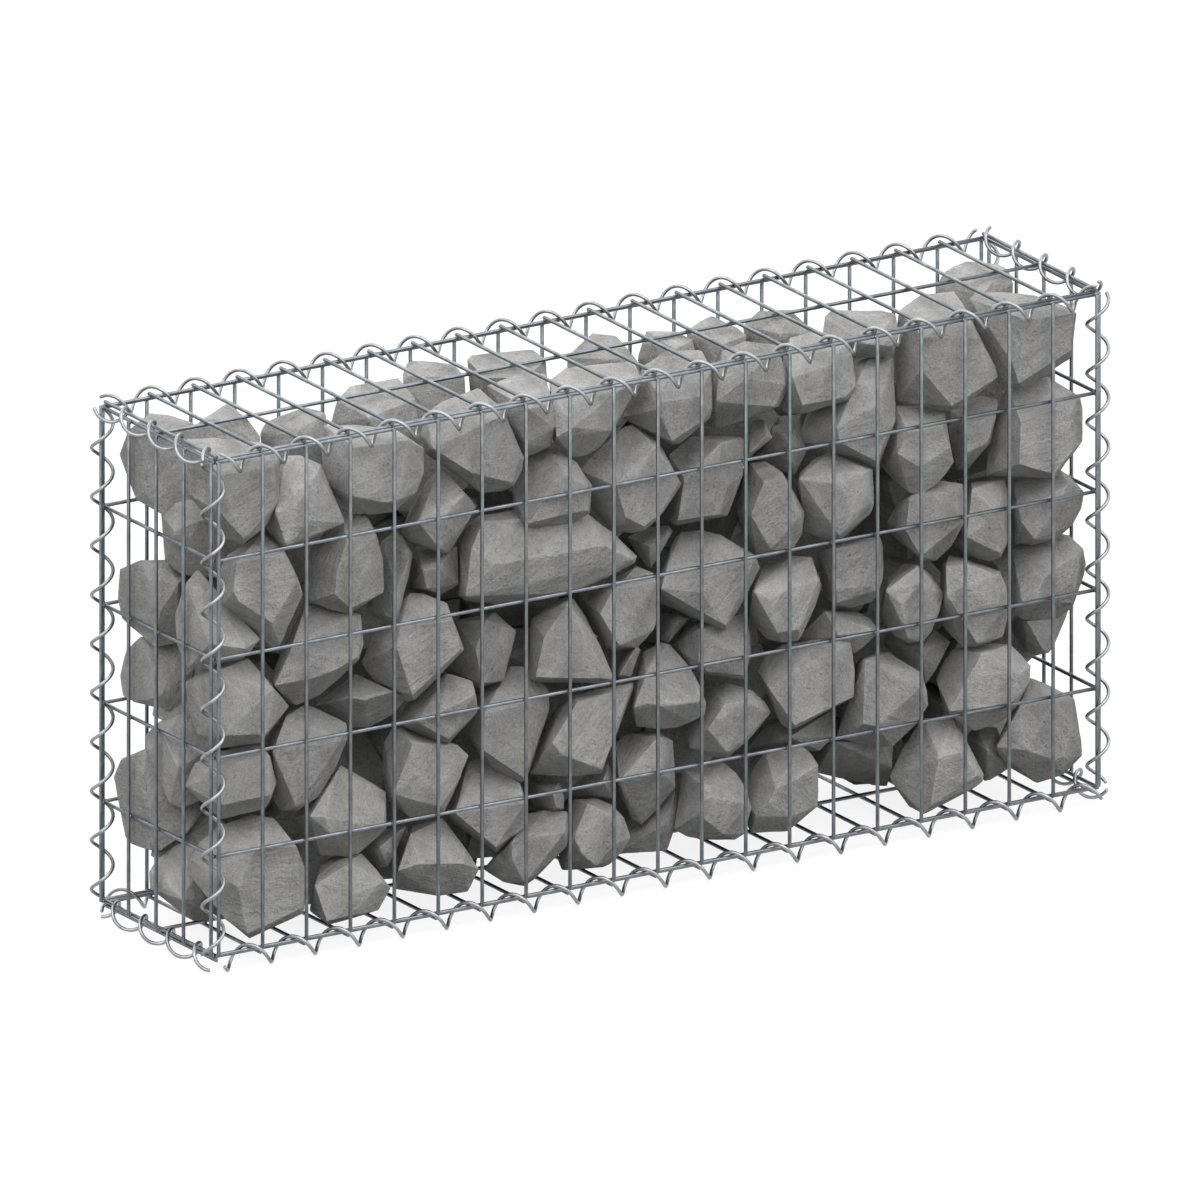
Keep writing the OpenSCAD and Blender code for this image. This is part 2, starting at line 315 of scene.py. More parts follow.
# %% [markdown]
# ## The lacing spirals
# A spiral is a helix with one turn to each mesh opening. The frame holds it with flat sides, so its axis is
# the middle of its box, its size is half the box, and the angle at which it starts is the mean of what its
# own corner points say. That way each spiral passes the wires exactly where the solid one does. Its wire is
# drawn a little thicker than the solid one, as the real one looks.

# %% Spirals
SOLID_WIRE_R = 0.0015
SPIRAL_WIRE_R = 0.0018
RINGS_PER_TURN = 32
SPIRAL_SIDES = 12


def spiral(node):
    low, high = (np.array(corner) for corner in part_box(node))
    run = int(np.argmax(high - low))
    one, two = (run + 1) % 3, (run + 2) % 3
    middle = (low + high) / 2
    radius = (high[one] - low[one]) / 2 - SOLID_WIRE_R
    lead = math.atan2(MESH_W, 2 * math.pi * radius)
    start = low[run] + SOLID_WIRE_R * math.cos(lead)
    end = high[run] - SOLID_WIRE_R * math.cos(lead)

    corners = np.array([v.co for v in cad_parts[node].data.vertices])
    turn = np.arctan2(corners[:, two] - middle[two], corners[:, one] - middle[one])
    offset = turn - (corners[:, run] - start) / MESH_W * 2 * math.pi
    first = math.atan2(np.sin(offset).sum(), np.cos(offset).sum())

    steps = round((end - start) / MESH_W * RINGS_PER_TURN)
    along = np.linspace(start, end, steps + 1)
    tips = along[:1], along[-1:]
    along = np.concatenate([tips[0], tips[0] + CUT_CHAMFER, along[1:-1], tips[1] - CUT_CHAMFER, tips[1]])
    radii = np.full(len(along), SPIRAL_WIRE_R)
    radii[[0, -1]] -= CUT_CHAMFER
    angle = first + (along - start) / MESH_W * 2 * math.pi
    out = np.zeros((len(along), 3))
    out[:, one], out[:, two] = np.cos(angle), np.sin(angle)
    round_way = np.zeros((len(along), 3))
    round_way[:, one], round_way[:, two] = -np.sin(angle), np.cos(angle)
    forward = np.eye(3)[run]
    side = forward * math.cos(lead) - round_way * math.sin(lead)
    line = middle + out * radius
    line[:, run] = along
    across, up = circle(SPIRAL_SIDES)
    rings = out[:, None] * across[None, :, None] - side[:, None] * up[None, :, None]
    rings = line[:, None] + rings * radii[:, None, None]
    piece = piece_from(node + ".coil", [skin(rings)], spiral_zinc)
    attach(piece, "root")
    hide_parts(node)
    print(node, round(math.degrees(first)), "degrees at its start,", triangles(piece), "triangles")


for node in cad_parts:
    if node.startswith("spiral_"):
        spiral(node)

# %% [markdown]
# ## Broken stone: the finish
# The stone is a dense grey rock, broken and not cut. Up close it is a salt and pepper of fine mineral grains;
# from a step away it has soft blotches and faint bands where it split along its bed, and every rounded edge
# is paler. Each stone has its own tone, kept on the mesh as a value called tint. How much of each point lies
# on a rounded edge is kept there too, and so is the way its beds lie, as a vector called bed, because every
# stone came to rest turned another way.

# %% Stone finish
STONE_DARK = (0.155, 0.153, 0.148, 1.0)
STONE_LIGHT = (0.450, 0.446, 0.434, 1.0)
# noises: features to the metre, detail, roughness
BLOTCHES = (38.0, 4.0, 0.55)
GRIT = (300.0, 3.0, 0.65)
SAND = (620.0, 3.0, 0.7)
PITS = (240.0, 2.0, 0.5)
# bands and scars: features to the metre along the bed, both ways, and across it
BANDS = (22.0, 22.0, 150.0)
SCARS = (70.0, 70.0, 150.0)
STONE_RELIEF = 0.0018


def stone_finish():
    material, shader, tree = new_material("broken grey stone")
    place = tree.node("ShaderNodeTexCoord", output="Object")
    bed = tree.node("ShaderNodeAttribute", {"attribute_name": "bed"}, output="Vector")
    tint = tree.node("ShaderNodeAttribute", {"attribute_name": "tint"}, output="Fac")
    wear = tree.node("ShaderNodeAttribute", {"attribute_name": "wear"}, output="Fac")
    blotches = place.noise(*BLOTCHES)
    bands = bed.stretched(*BANDS).noise(1.0, 3.0, 0.6)
    scars = bed.stretched(*SCARS).noise(1.0, 4.0, 0.6)
    grit = place.noise(*GRIT)
    sand = place.noise(*SAND)
    pits = place.noise(*PITS).ramp((0.28, 0.0), (0.40, 1.0))
    shade = 0.5 + (blotches - 0.5) * 0.8 + (bands - 0.5) * 0.35 + (grit - 0.5) * 0.6 + (sand - 0.5) * 1.0
    # each stone's own tint; every rounded edge is made paler, the more so where more of a point's faces lie
    # on it
    shade = shade + tint * 0.14 + wear * 0.12 - (1.0 - pits) * 0.16
    plug(shade.mix(STONE_DARK, STONE_LIGHT), shader.inputs["Base Color"])
    plug(0.90 - (sand - 0.5) * 0.15, shader.inputs["Roughness"])
    height = sand * 0.35 + grit * 0.7 + pits * 0.3 + scars * 1.6 + bands * 0.6 + blotches * 0.6
    bump = tree.node("ShaderNodeBump", (), {"Strength": 0.8, "Distance": STONE_RELIEF, "Height": height})
    plug(bump, shader.inputs["Normal"])
    shader.inputs["Specular IOR Level"].default_value = 0.3
    return material


stone = stone_finish()
print("stone finish:", len(stone.node_tree.nodes), "nodes")

# %% [markdown]
# ## Broken stone: the stones that show
# The eye knows this wall by the stones behind its front mesh, so those are shaped one by one. Each
# is drawn as it looks from the camera: an outline of corners, in millimetres along the front mesh and up from
# its lowest wire, and the inner corners, if any, where its broken faces meet. A third number is a corner's
# depth behind the mesh. Where there is none, an outline corner lies deeper the further it is to the upper
# left, since that side of a stone turns away to the back. The first number of a stone says how far back the
# whole stone sits.

# %% Stones given one by one
SHAPED = {}
SHAPED["front_stones_course_1"] = [
    (2, [(-535, 105), (-525, 120), (-500, 134), (-463, 139), (-438, 131), (-417, 104), (-401, 70),
         (-403, 27), (-418, 25), (-466, 11), (-494, 36, 20), (-513, 60), (-535, 88)],
     [(-457, 104, 2), (-480, 68, 0), (-411, 96, 3), (-408, 32, 3), (-468, 16, 2)]),
    (0, [(-398, 28), (-394, 56), (-384, 78), (-362, 82), (-338, 78), (-320, 58), (-304, 36),
         (-318, 15, 16), (-352, 12), (-376, 10)],
     [(-392, 54, 9), (-378, 14, 3), (-352, 15, 0), (-346, 38, 0), (-352, 70, 5), (-314, 43, 5)]),
    (0, [(-302, 40), (-290, 75), (-280, 96), (-245, 98), (-222, 66), (-203, 38), (-216, 16, 20),
         (-250, 18, 22), (-302, 34, 32)],
     [(-297, 52, 6), (-270, 54, 0), (-220, 46, 1), (-283, 88, 22)]),
    (20, [(-345, 82), (-322, 97), (-285, 98), (-300, 70), (-308, 57), (-318, 58), (-335, 75)],
     [(-318, 80, 2)]),
    (2, [(-417, 128), (-398, 138), (-380, 152), (-362, 172), (-345, 160), (-309, 136), (-309, 97),
         (-340, 77, 20), (-352, 75, 24), (-385, 82, 28), (-398, 97)],
     [(-397, 125, 6), (-380, 121, 0), (-373, 102, 0), (-312, 100, 3), (-366, 166, 14)]),
    (6, [(-245, 97), (-232, 125), (-216, 150), (-203, 152), (-186, 134), (-157, 118), (-150, 100),
         (-150, 72), (-184, 51), (-203, 66, 24)],
     [(-232, 100, 10), (-201, 75, 3), (-185, 56, 0), (-152, 96, 2)]),
    (2, [(-200, 37), (-184, 50), (-152, 72), (-148, 86), (-130, 86), (-103, 80), (-100, 60), (-103, 44),
         (-140, 16), (-152, 10), (-178, 20, 24), (-192, 35)],
     [(-167, 60, 6), (-166, 40, 2), (-152, 14, 0), (-106, 58, 1), (-150, 62, 3)]),
    (2, [(-115, 32), (-103, 46), (-103, 85), (-96, 91), (-70, 88), (-52, 78), (-38, 62), (-30, 40),
         (-40, 27), (-54, 17), (-62, 15), (-110, 20)],
     [(-96, 52, 6), (-86, 32, 2), (-70, 18, 2), (-52, 68, 1), (-50, 36, 1), (-80, 84, 14)]),
    (8, [(-50, 100), (-50, 140), (-35, 148), (0, 144), (18, 131), (21, 82, 30), (0, 64, 36),
         (-18, 50, 38), (-30, 58, 40), (-42, 85)],
     [(-44, 100, 8), (4, 104, 0), (0, 138, 10)]),
    (26, [(-52, 26), (-42, 56), (-14, 62), (2, 66), (20, 80), (22, 62), (20, 40), (11, 19), (0, 20)],
     [(9, 48, 2)]),
    (0, [(18, 40, 34), (21, 62), (28, 100), (48, 104), (75, 100), (90, 86), (100, 70), (108, 46),
         (100, 22), (88, 17, 16), (52, 23, 22), (32, 30, 30)],
     [(46, 51, 2), (51, 62, 0), (50, 80, 4), (64, 78, 6), (100, 52, 3), (62, 66, 0), (76, 25, 4)]),
    (0, [(98, 42), (93, 64), (108, 88), (122, 103), (164, 102), (175, 92), (184, 78), (183, 36),
         (160, 25), (148, 15, 16), (106, 21, 24), (102, 28)],
     [(126, 51, 0), (134, 62, 0), (152, 65, 1), (150, 30, 2), (112, 38, 6), (182, 78, 7)]),
    (40, [(180, 70), (178, 100), (215, 104), (250, 100), (270, 95), (268, 60), (262, 42, 70),
          (245, 46, 80)],
     [(200, 98, 0), (256, 90, 0)]),
    (0, [(262, 52), (278, 78), (294, 98), (304, 106), (338, 102), (352, 76), (373, 36), (372, 28),
         (360, 22, 14), (303, 6), (286, 17), (272, 38)],
     [(320, 62, 0), (346, 63, 2), (311, 14, 1), (366, 36, 6)]),
    (22, [(350, 78), (362, 88), (388, 82), (384, 60), (398, 44), (400, 36), (380, 28), (372, 28),
          (362, 50)],
     [(376, 60, 2)]),
    (0, [(382, 60), (396, 82), (414, 116), (425, 127), (450, 113), (476, 96), (484, 52), (485, 35),
         (464, 19, 12), (432, 16, 22), (400, 38, 28), (388, 50)],
     [(386, 61, 8), (420, 52, 0), (450, 38, 0), (464, 37, 2), (473, 70, 3), (452, 97, 3), (412, 97, 6)]),
]
SHAPED["front_stones_course_2"] = [
    (2, [(-540, 180), (-530, 202), (-505, 210), (-452, 208), (-440, 192), (-434, 166), (-440, 152),
         (-447, 141, 20), (-498, 138, 26), (-512, 150)],
     [(-498, 153, 2), (-442, 154, 0), (-478, 193, 2), (-500, 186, 4), (-443, 195, 4)]),
    (0, [(-446, 212), (-424, 237), (-402, 241), (-384, 232), (-354, 213), (-353, 196), (-366, 170),
         (-386, 142), (-412, 132), (-431, 136), (-440, 150), (-444, 195)],
     [(-440, 198, 10), (-422, 180, 4), (-412, 136, 0), (-360, 196, 6), (-425, 232, 30)]),
    (0, [(-310, 126), (-316, 160), (-313, 186), (-303, 200), (-292, 199), (-250, 178), (-228, 169),
         (-215, 156), (-224, 136), (-243, 103), (-262, 101, 20), (-283, 103, 26)],
     [(-302, 131, 6), (-277, 148, 0), (-280, 180, 4), (-255, 127, 0), (-248, 108, 2)]),
    (0, [(-300, 204), (-284, 224), (-253, 240), (-240, 245), (-211, 232), (-206, 214), (-205, 198),
         (-238, 171), (-252, 175, 24), (-288, 196, 36)],
     [(-246, 206, 0), (-208, 218, 4), (-238, 176, 2), (-250, 183, 1), (-275, 200, 8)]),
    (12, [(-222, 182), (-207, 204), (-204, 222), (-175, 225), (-168, 240), (-152, 237), (-124, 208),
          (-123, 186), (-138, 150), (-150, 119), (-158, 117), (-186, 134), (-203, 152)],
     [(-198, 196, 6), (-150, 197, 2), (-152, 121, 2), (-200, 158, 3)]),
    (0, [(-149, 124), (-138, 152), (-118, 186), (-100, 198), (-28, 199), (-27, 192), (-46, 148),
         (-60, 113), (-64, 111), (-100, 114, 22)],
     [(-121, 153, 3), (-109, 138, 0), (-92, 190, 4), (-112, 165, 5), (-63, 115, 2), (-30, 194, 7)]),
    (16, [(-148, 100), (-145, 117), (-112, 113), (-106, 95), (-107, 82), (-122, 82), (-140, 88)],
     [(-120, 100, 0), (-116, 86, 2)]),
    (24, [(-98, 104), (-56, 124), (-49, 102), (-52, 84), (-70, 90), (-98, 94)],
     [(-62, 104, 2)]),
    (0, [(-34, 172), (-26, 205), (-18, 228), (4, 235), (14, 231), (38, 203), (50, 180), (56, 163),
         (54, 151), (40, 146), (22, 143, 22), (0, 145, 24), (-25, 152, 28)],
     [(-28, 172, 5), (-12, 174, 0), (5, 168, 0), (50, 165, 2), (-14, 205, 18)]),
    (4, [(29, 140), (52, 164), (62, 178), (78, 181), (108, 168), (124, 152), (130, 140), (104, 116),
         (80, 103), (66, 105, 26), (35, 120, 34)],
     [(57, 136, 2), (76, 158, 3), (98, 158, 0), (80, 107, 1)]),
    (36, [(100, 108), (122, 130), (140, 126), (150, 119), (200, 132), (203, 104), (185, 92), (150, 98),
          (112, 100)],
     [(150, 112, 0)]),
    (0, [(112, 186), (122, 200), (140, 208), (208, 206), (221, 198), (225, 168), (225, 140), (157, 119),
         (149, 120), (140, 126), (124, 160)],
     [(150, 172, 4), (158, 182, 2), (201, 188, 0), (203, 135, 1), (156, 122, 1), (126, 166, 12)]),
    (2, [(203, 102), (214, 140), (224, 172), (232, 179), (252, 182), (264, 179), (302, 152), (308, 132),
         (309, 117), (296, 100, 16), (268, 81, 22), (254, 83, 26), (216, 96, 34)],
     [(234, 111, 0), (236, 176, 8), (250, 105, 0), (300, 136, 3)]),
    (30, [(255, 190), (262, 200), (300, 196), (316, 194), (335, 178), (318, 152), (306, 138), (296, 150),
          (268, 172)],
     [(302, 176, 0)]),
    (0, [(316, 143), (326, 160), (336, 171), (352, 170), (385, 168), (402, 164), (415, 151), (426, 138),
         (425, 122), (408, 96), (394, 86, 18), (362, 81, 24), (346, 90, 28), (326, 110)],
     [(369, 160, 4), (370, 140, 0), (366, 104, 0), (404, 103, 1), (414, 132, 3), (332, 107, 5)]),
    (18, [(400, 188), (412, 196), (470, 188), (452, 152), (446, 147), (430, 146), (420, 153), (404, 174)],
     [(420, 184, 4), (456, 180, 0), (440, 150, 4)]),
    (65, [(40, 150), (56, 212), (118, 214), (136, 168), (88, 136)]),
]
SHAPED["front_stones_course_3"] = [
    (2, [(-540, 286), (-505, 299), (-467, 299), (-440, 268), (-420, 241), (-446, 214), (-452, 209),
         (-500, 211), (-514, 220), (-527, 231), (-536, 256)],
     [(-499, 221, 0), (-456, 250, 0), (-438, 263, 3), (-448, 217, 1), (-506, 290, 14)]),
    (10, [(-395, 236), (-368, 250), (-345, 262), (-325, 250), (-300, 236), (-284, 226), (-302, 212, 26),
          (-330, 203, 30), (-350, 207, 34)],
     [(-352, 238, 2), (-334, 232, 0), (-302, 236, 3)]),
    (20, [(-240, 247), (-222, 268), (-232, 297), (-186, 298), (-161, 274), (-167, 252), (-175, 225),
          (-206, 222), (-224, 234)],
     [(-208, 262, 4), (-196, 290, 8), (-200, 226, 4)]),
    (0, [(-148, 222), (-149, 262), (-146, 284), (-124, 294), (-104, 299), (-96, 296), (-84, 278),
         (-66, 244), (-50, 208), (-50, 203), (-60, 202), (-142, 217)],
     [(-140, 222, 2), (-130, 262, 4), (-103, 292, 8), (-56, 206, 2)]),
    (6, [(-84, 288), (-74, 299), (-60, 305), (-24, 317), (-4, 306), (3, 290), (2, 262), (-4, 247),
         (-24, 232, 24), (-46, 234), (-62, 239), (-78, 268)],
     [(-66, 275, 5), (-53, 252, 0), (-52, 296, 5), (-44, 238, 1), (-2, 296, 4)]),
    (12, [(-50, 208), (-46, 228), (-24, 237), (-19, 230), (-30, 204), (-46, 203)],
     [(-26, 232, 1), (-44, 208, 2)]),
    (18, [(0, 236), (3, 262), (24, 262), (37, 253), (12, 231)],
     [(20, 252, 2)]),
    (12, [(15, 228), (28, 246), (37, 251), (76, 240), (98, 248), (106, 226), (107, 202), (98, 179),
          (52, 192), (42, 198), (26, 204)],
     [(48, 240, 6), (46, 206, 0), (98, 202, 0), (56, 194, 3), (98, 183, 2)]),
    (0, [(102, 240), (101, 262), (108, 282), (120, 293), (152, 297), (176, 292), (184, 272), (188, 260),
         (180, 240), (164, 212), (160, 208), (142, 209, 18), (124, 215)],
     [(109, 268, 6), (129, 256, 0), (152, 263, 2), (136, 220, 1), (162, 219, 1), (184, 266, 7)]),
    (14, [(150, 206), (166, 218), (184, 238), (202, 234), (226, 228), (242, 218), (256, 203), (245, 196),
          (232, 187), (224, 184), (218, 190)],
     [(206, 206, 2), (190, 234, 14), (250, 203, 4)]),
    (2, [(180, 297), (204, 301), (254, 300), (258, 288), (258, 254), (250, 240), (244, 233, 20),
         (222, 231, 24), (202, 236, 26), (190, 246), (186, 262)],
     [(203, 296, 5), (203, 253, 0), (236, 252, 0), (251, 244, 2), (252, 296, 5), (204, 239, 3)]),
    (0, [(253, 216), (255, 238), (262, 257), (280, 267), (297, 264), (314, 248), (327, 228), (322, 210),
         (313, 191), (303, 182), (285, 184), (268, 195)],
     [(278, 226, 0), (260, 243, 7), (299, 244, 2), (286, 188, 2), (296, 262, 12)]),
    (0, [(318, 204), (326, 226), (323, 258), (332, 267), (346, 263), (391, 240), (399, 222), (402, 198),
         (394, 172), (380, 169), (360, 167), (346, 171), (328, 190)],
     [(329, 226, 3), (352, 233, 0), (328, 257, 10), (352, 254, 8), (392, 198, 2), (390, 236, 6),
      (364, 170, 2)]),
    (0, [(402, 214), (400, 240), (403, 262), (420, 264), (460, 267), (470, 264), (486, 247), (489, 230),
         (486, 218), (474, 188), (452, 179, 22), (418, 185, 26), (403, 194, 32)],
     [(440, 223, 0), (452, 231, 0), (432, 205, 0), (484, 244, 4), (473, 193, 3), (416, 201, 5)]),
    (65, [(34, 236), (60, 304), (140, 304), (154, 256), (104, 222)]),
]
SHAPED["front_stones_course_4"] = [
    (4, [(-552, 358), (-539, 387), (-525, 400), (-512, 382), (-498, 352), (-453, 315), (-466, 302),
         (-500, 300), (-537, 299), (-550, 326)],
     [(-541, 347, 0), (-512, 320, 4), (-470, 308, 4)]),
    (0, [(-443, 272), (-428, 304), (-402, 344), (-384, 338), (-338, 321), (-335, 290), (-340, 274),
         (-362, 260, 24), (-386, 246, 28), (-412, 240, 30), (-424, 246, 34), (-438, 262)],
     [(-438, 265, 3), (-400, 264, 0), (-366, 269, 0), (-342, 277, 3), (-420, 297, 5), (-352, 321, 22)]),
    (0, [(-339, 271), (-328, 296), (-302, 308), (-285, 334), (-268, 331), (-240, 316), (-232, 294),
         (-220, 264), (-250, 243), (-277, 222), (-286, 222), (-304, 236), (-326, 251)],
     [(-299, 281, 2), (-266, 298, 2), (-234, 297, 6), (-280, 227, 0), (-224, 265, 3)]),
    (4, [(-230, 322), (-229, 374), (-220, 390), (-205, 399), (-165, 398), (-140, 384), (-80, 380),
         (-48, 352), (-23, 326), (-26, 319), (-60, 309), (-98, 301), (-180, 303), (-220, 314)],
     [(-220, 318, 4), (-213, 366, 8), (-186, 345, 0), (-60, 343, 0), (-28, 323, 3), (-200, 392, 20)]),
    (22, [(-36, 348), (-10, 354), (12, 352), (18, 345), (5, 325), (-8, 310), (-14, 314), (-25, 330)],
     [(-10, 333, 0), (10, 340, 1)]),
    (0, [(1, 274), (0, 302), (18, 338), (26, 343), (50, 341), (72, 332), (112, 304), (117, 290),
         (100, 262), (78, 232), (72, 234, 20), (48, 248, 26)],
     [(3, 288, 8), (50, 277, 0), (62, 292, 1), (110, 298, 5), (78, 237, 1), (88, 306, 11)]),
    (4, [(88, 353), (96, 385), (104, 400), (122, 399), (142, 384), (156, 362), (168, 338), (165, 316),
         (154, 300), (128, 301), (112, 304, 26), (98, 328)],
     [(106, 345, 2), (121, 377, 4), (129, 306, 1), (163, 336, 2), (143, 380, 7)]),
    (0, [(157, 365), (161, 380), (178, 392), (196, 396), (206, 390), (246, 369), (247, 332), (244, 324),
         (226, 312, 18), (208, 302, 18), (198, 303), (166, 318)],
     [(161, 374, 8), (203, 361, 0), (212, 356, 0), (223, 326, 0), (207, 307, 2), (244, 336, 3),
      (240, 369, 7)]),
    (0, [(260, 312), (272, 330), (290, 342), (322, 345), (349, 337), (350, 296), (336, 275, 22),
         (318, 262, 24), (302, 264, 22), (266, 298)],
     [(287, 333, 8), (340, 332, 6), (300, 270, 0), (346, 296, 2), (282, 300, 4)]),
    (10, [(335, 277), (350, 318), (356, 337), (396, 334), (400, 318), (400, 268), (391, 253),
          (378, 251, 26), (352, 262, 32)],
     [(352, 281, 3), (388, 300, 0), (391, 257, 1), (358, 330, 12)]),
    (2, [(401, 300), (404, 328), (440, 326), (458, 334), (472, 322), (487, 304), (484, 288), (474, 272),
         (456, 261, 20), (428, 259), (406, 265)],
     [(414, 286, 5), (430, 265, 1), (458, 298, 0), (434, 302, 2), (468, 316, 7)]),
    (65, [(-128, 334), (-118, 410), (-50, 412), (-34, 356), (-84, 320)]),
]
SHAPED["front_stones_course_5"] = [
    (0, [(-503, 354), (-502, 392), (-492, 408), (-452, 424), (-430, 410), (-408, 366), (-404, 352),
         (-431, 304, 24), (-440, 303, 26), (-498, 350)],
     [(-481, 398, 4), (-485, 369, 2), (-479, 358, 0), (-440, 329, 0), (-411, 367, 3), (-424, 397, 4)]),
    (0, [(-403, 352), (-402, 394), (-386, 406), (-361, 428), (-333, 423), (-322, 404), (-313, 372),
         (-312, 338), (-340, 327), (-352, 323, 20), (-374, 331, 26), (-398, 344, 36)],
     [(-369, 346, 0), (-365, 374, 2), (-353, 382, 2), (-350, 328, 1), (-320, 396, 6), (-355, 398, 7)]),
    (16, [(-334, 325), (-313, 345), (-316, 392), (-300, 400), (-290, 392), (-279, 374), (-284, 350),
          (-296, 308), (-306, 302)],
     [(-298, 340, 0), (-282, 372, 4), (-298, 308, 2)]),
    (8, [(-294, 398), (-284, 418), (-264, 444), (-248, 457), (-232, 440), (-206, 408), (-214, 396),
         (-238, 365, 24), (-246, 366, 28), (-286, 386, 44)],
     [(-274, 404, 6), (-246, 402, 0), (-219, 424, 5), (-249, 372, 2)]),
    (24, [(-282, 372), (-276, 380), (-240, 366), (-228, 372), (-227, 332), (-248, 324), (-266, 331),
          (-284, 336)],
     [(-269, 354, 0), (-250, 353, 0), (-264, 334, 4)]),
    (0, [(-168, 418), (-164, 392), (-152, 377, 26), (-138, 373, 26), (-94, 372, 20), (-77, 379),
         (-75, 408), (-92, 434), (-112, 449), (-126, 455), (-150, 448), (-162, 428)],
     [(-150, 380, 2), (-116, 382, 0), (-79, 382, 2), (-105, 424, 3), (-80, 408, 5)]),
    (2, [(-90, 425), (-76, 384), (-50, 355), (-30, 350), (-14, 350), (2, 361), (28, 390), (22, 402),
         (0, 441), (-30, 463), (-42, 460), (-66, 442), (-84, 432)],
     [(-48, 402, 2), (-30, 402, 0), (-37, 368, 1), (-15, 354, 0), (-3, 436, 5), (26, 394, 5), (2, 364, 2)]),
    (10, [(8, 358), (12, 424), (38, 438), (70, 434), (94, 428), (101, 424), (98, 388), (80, 349),
          (68, 349), (20, 349)],
     [(22, 354, 3), (30, 396, 3), (49, 402, 0), (72, 402, 0), (80, 381, 1), (72, 426, 7), (70, 352, 1)]),
    (18, [(99, 402), (97, 430), (108, 444), (121, 442), (132, 420)],
     [(124, 424, 2), (104, 408, 3)]),
    (38, [(105, 402), (120, 444), (164, 440), (163, 415), (170, 399), (156, 376), (146, 382), (120, 399)],
     [(150, 412, 0)]),
    (8, [(161, 418), (168, 437), (184, 446), (214, 456), (226, 482), (244, 486), (270, 478), (273, 440),
         (272, 414), (264, 398), (252, 371, 20), (246, 370, 22), (196, 396), (166, 409)],
     [(204, 418, 0), (226, 434, 2), (252, 434, 0), (208, 402, 1), (262, 400, 2), (250, 375, 3),
      (232, 470, 14)]),
    (0, [(253, 371), (266, 398), (271, 430), (298, 425), (328, 412), (332, 390), (338, 360), (330, 350),
         (316, 339), (300, 332, 16), (286, 337, 22), (268, 354)],
     [(273, 380, 4), (299, 361, 0), (334, 376, 4), (285, 400, 7), (326, 398, 7)]),
    (22, [(330, 398), (333, 414), (368, 424), (390, 416), (386, 395), (380, 372), (355, 350), (340, 350),
          (337, 362)],
     [(352, 366, 0), (376, 373, 0), (386, 398, 3), (350, 398, 4)]),
    (0, [(374, 340), (377, 378), (386, 402), (398, 428), (444, 430), (482, 403), (485, 390), (485, 356),
         (468, 340), (455, 325), (444, 325), (404, 338)],
     [(412, 345, 2), (414, 388, 2), (452, 328, 0), (453, 394, 0), (471, 388, 1), (472, 347, 1)]),
    (65, [(120, 362), (134, 430), (200, 426), (212, 376), (160, 346)]),
]
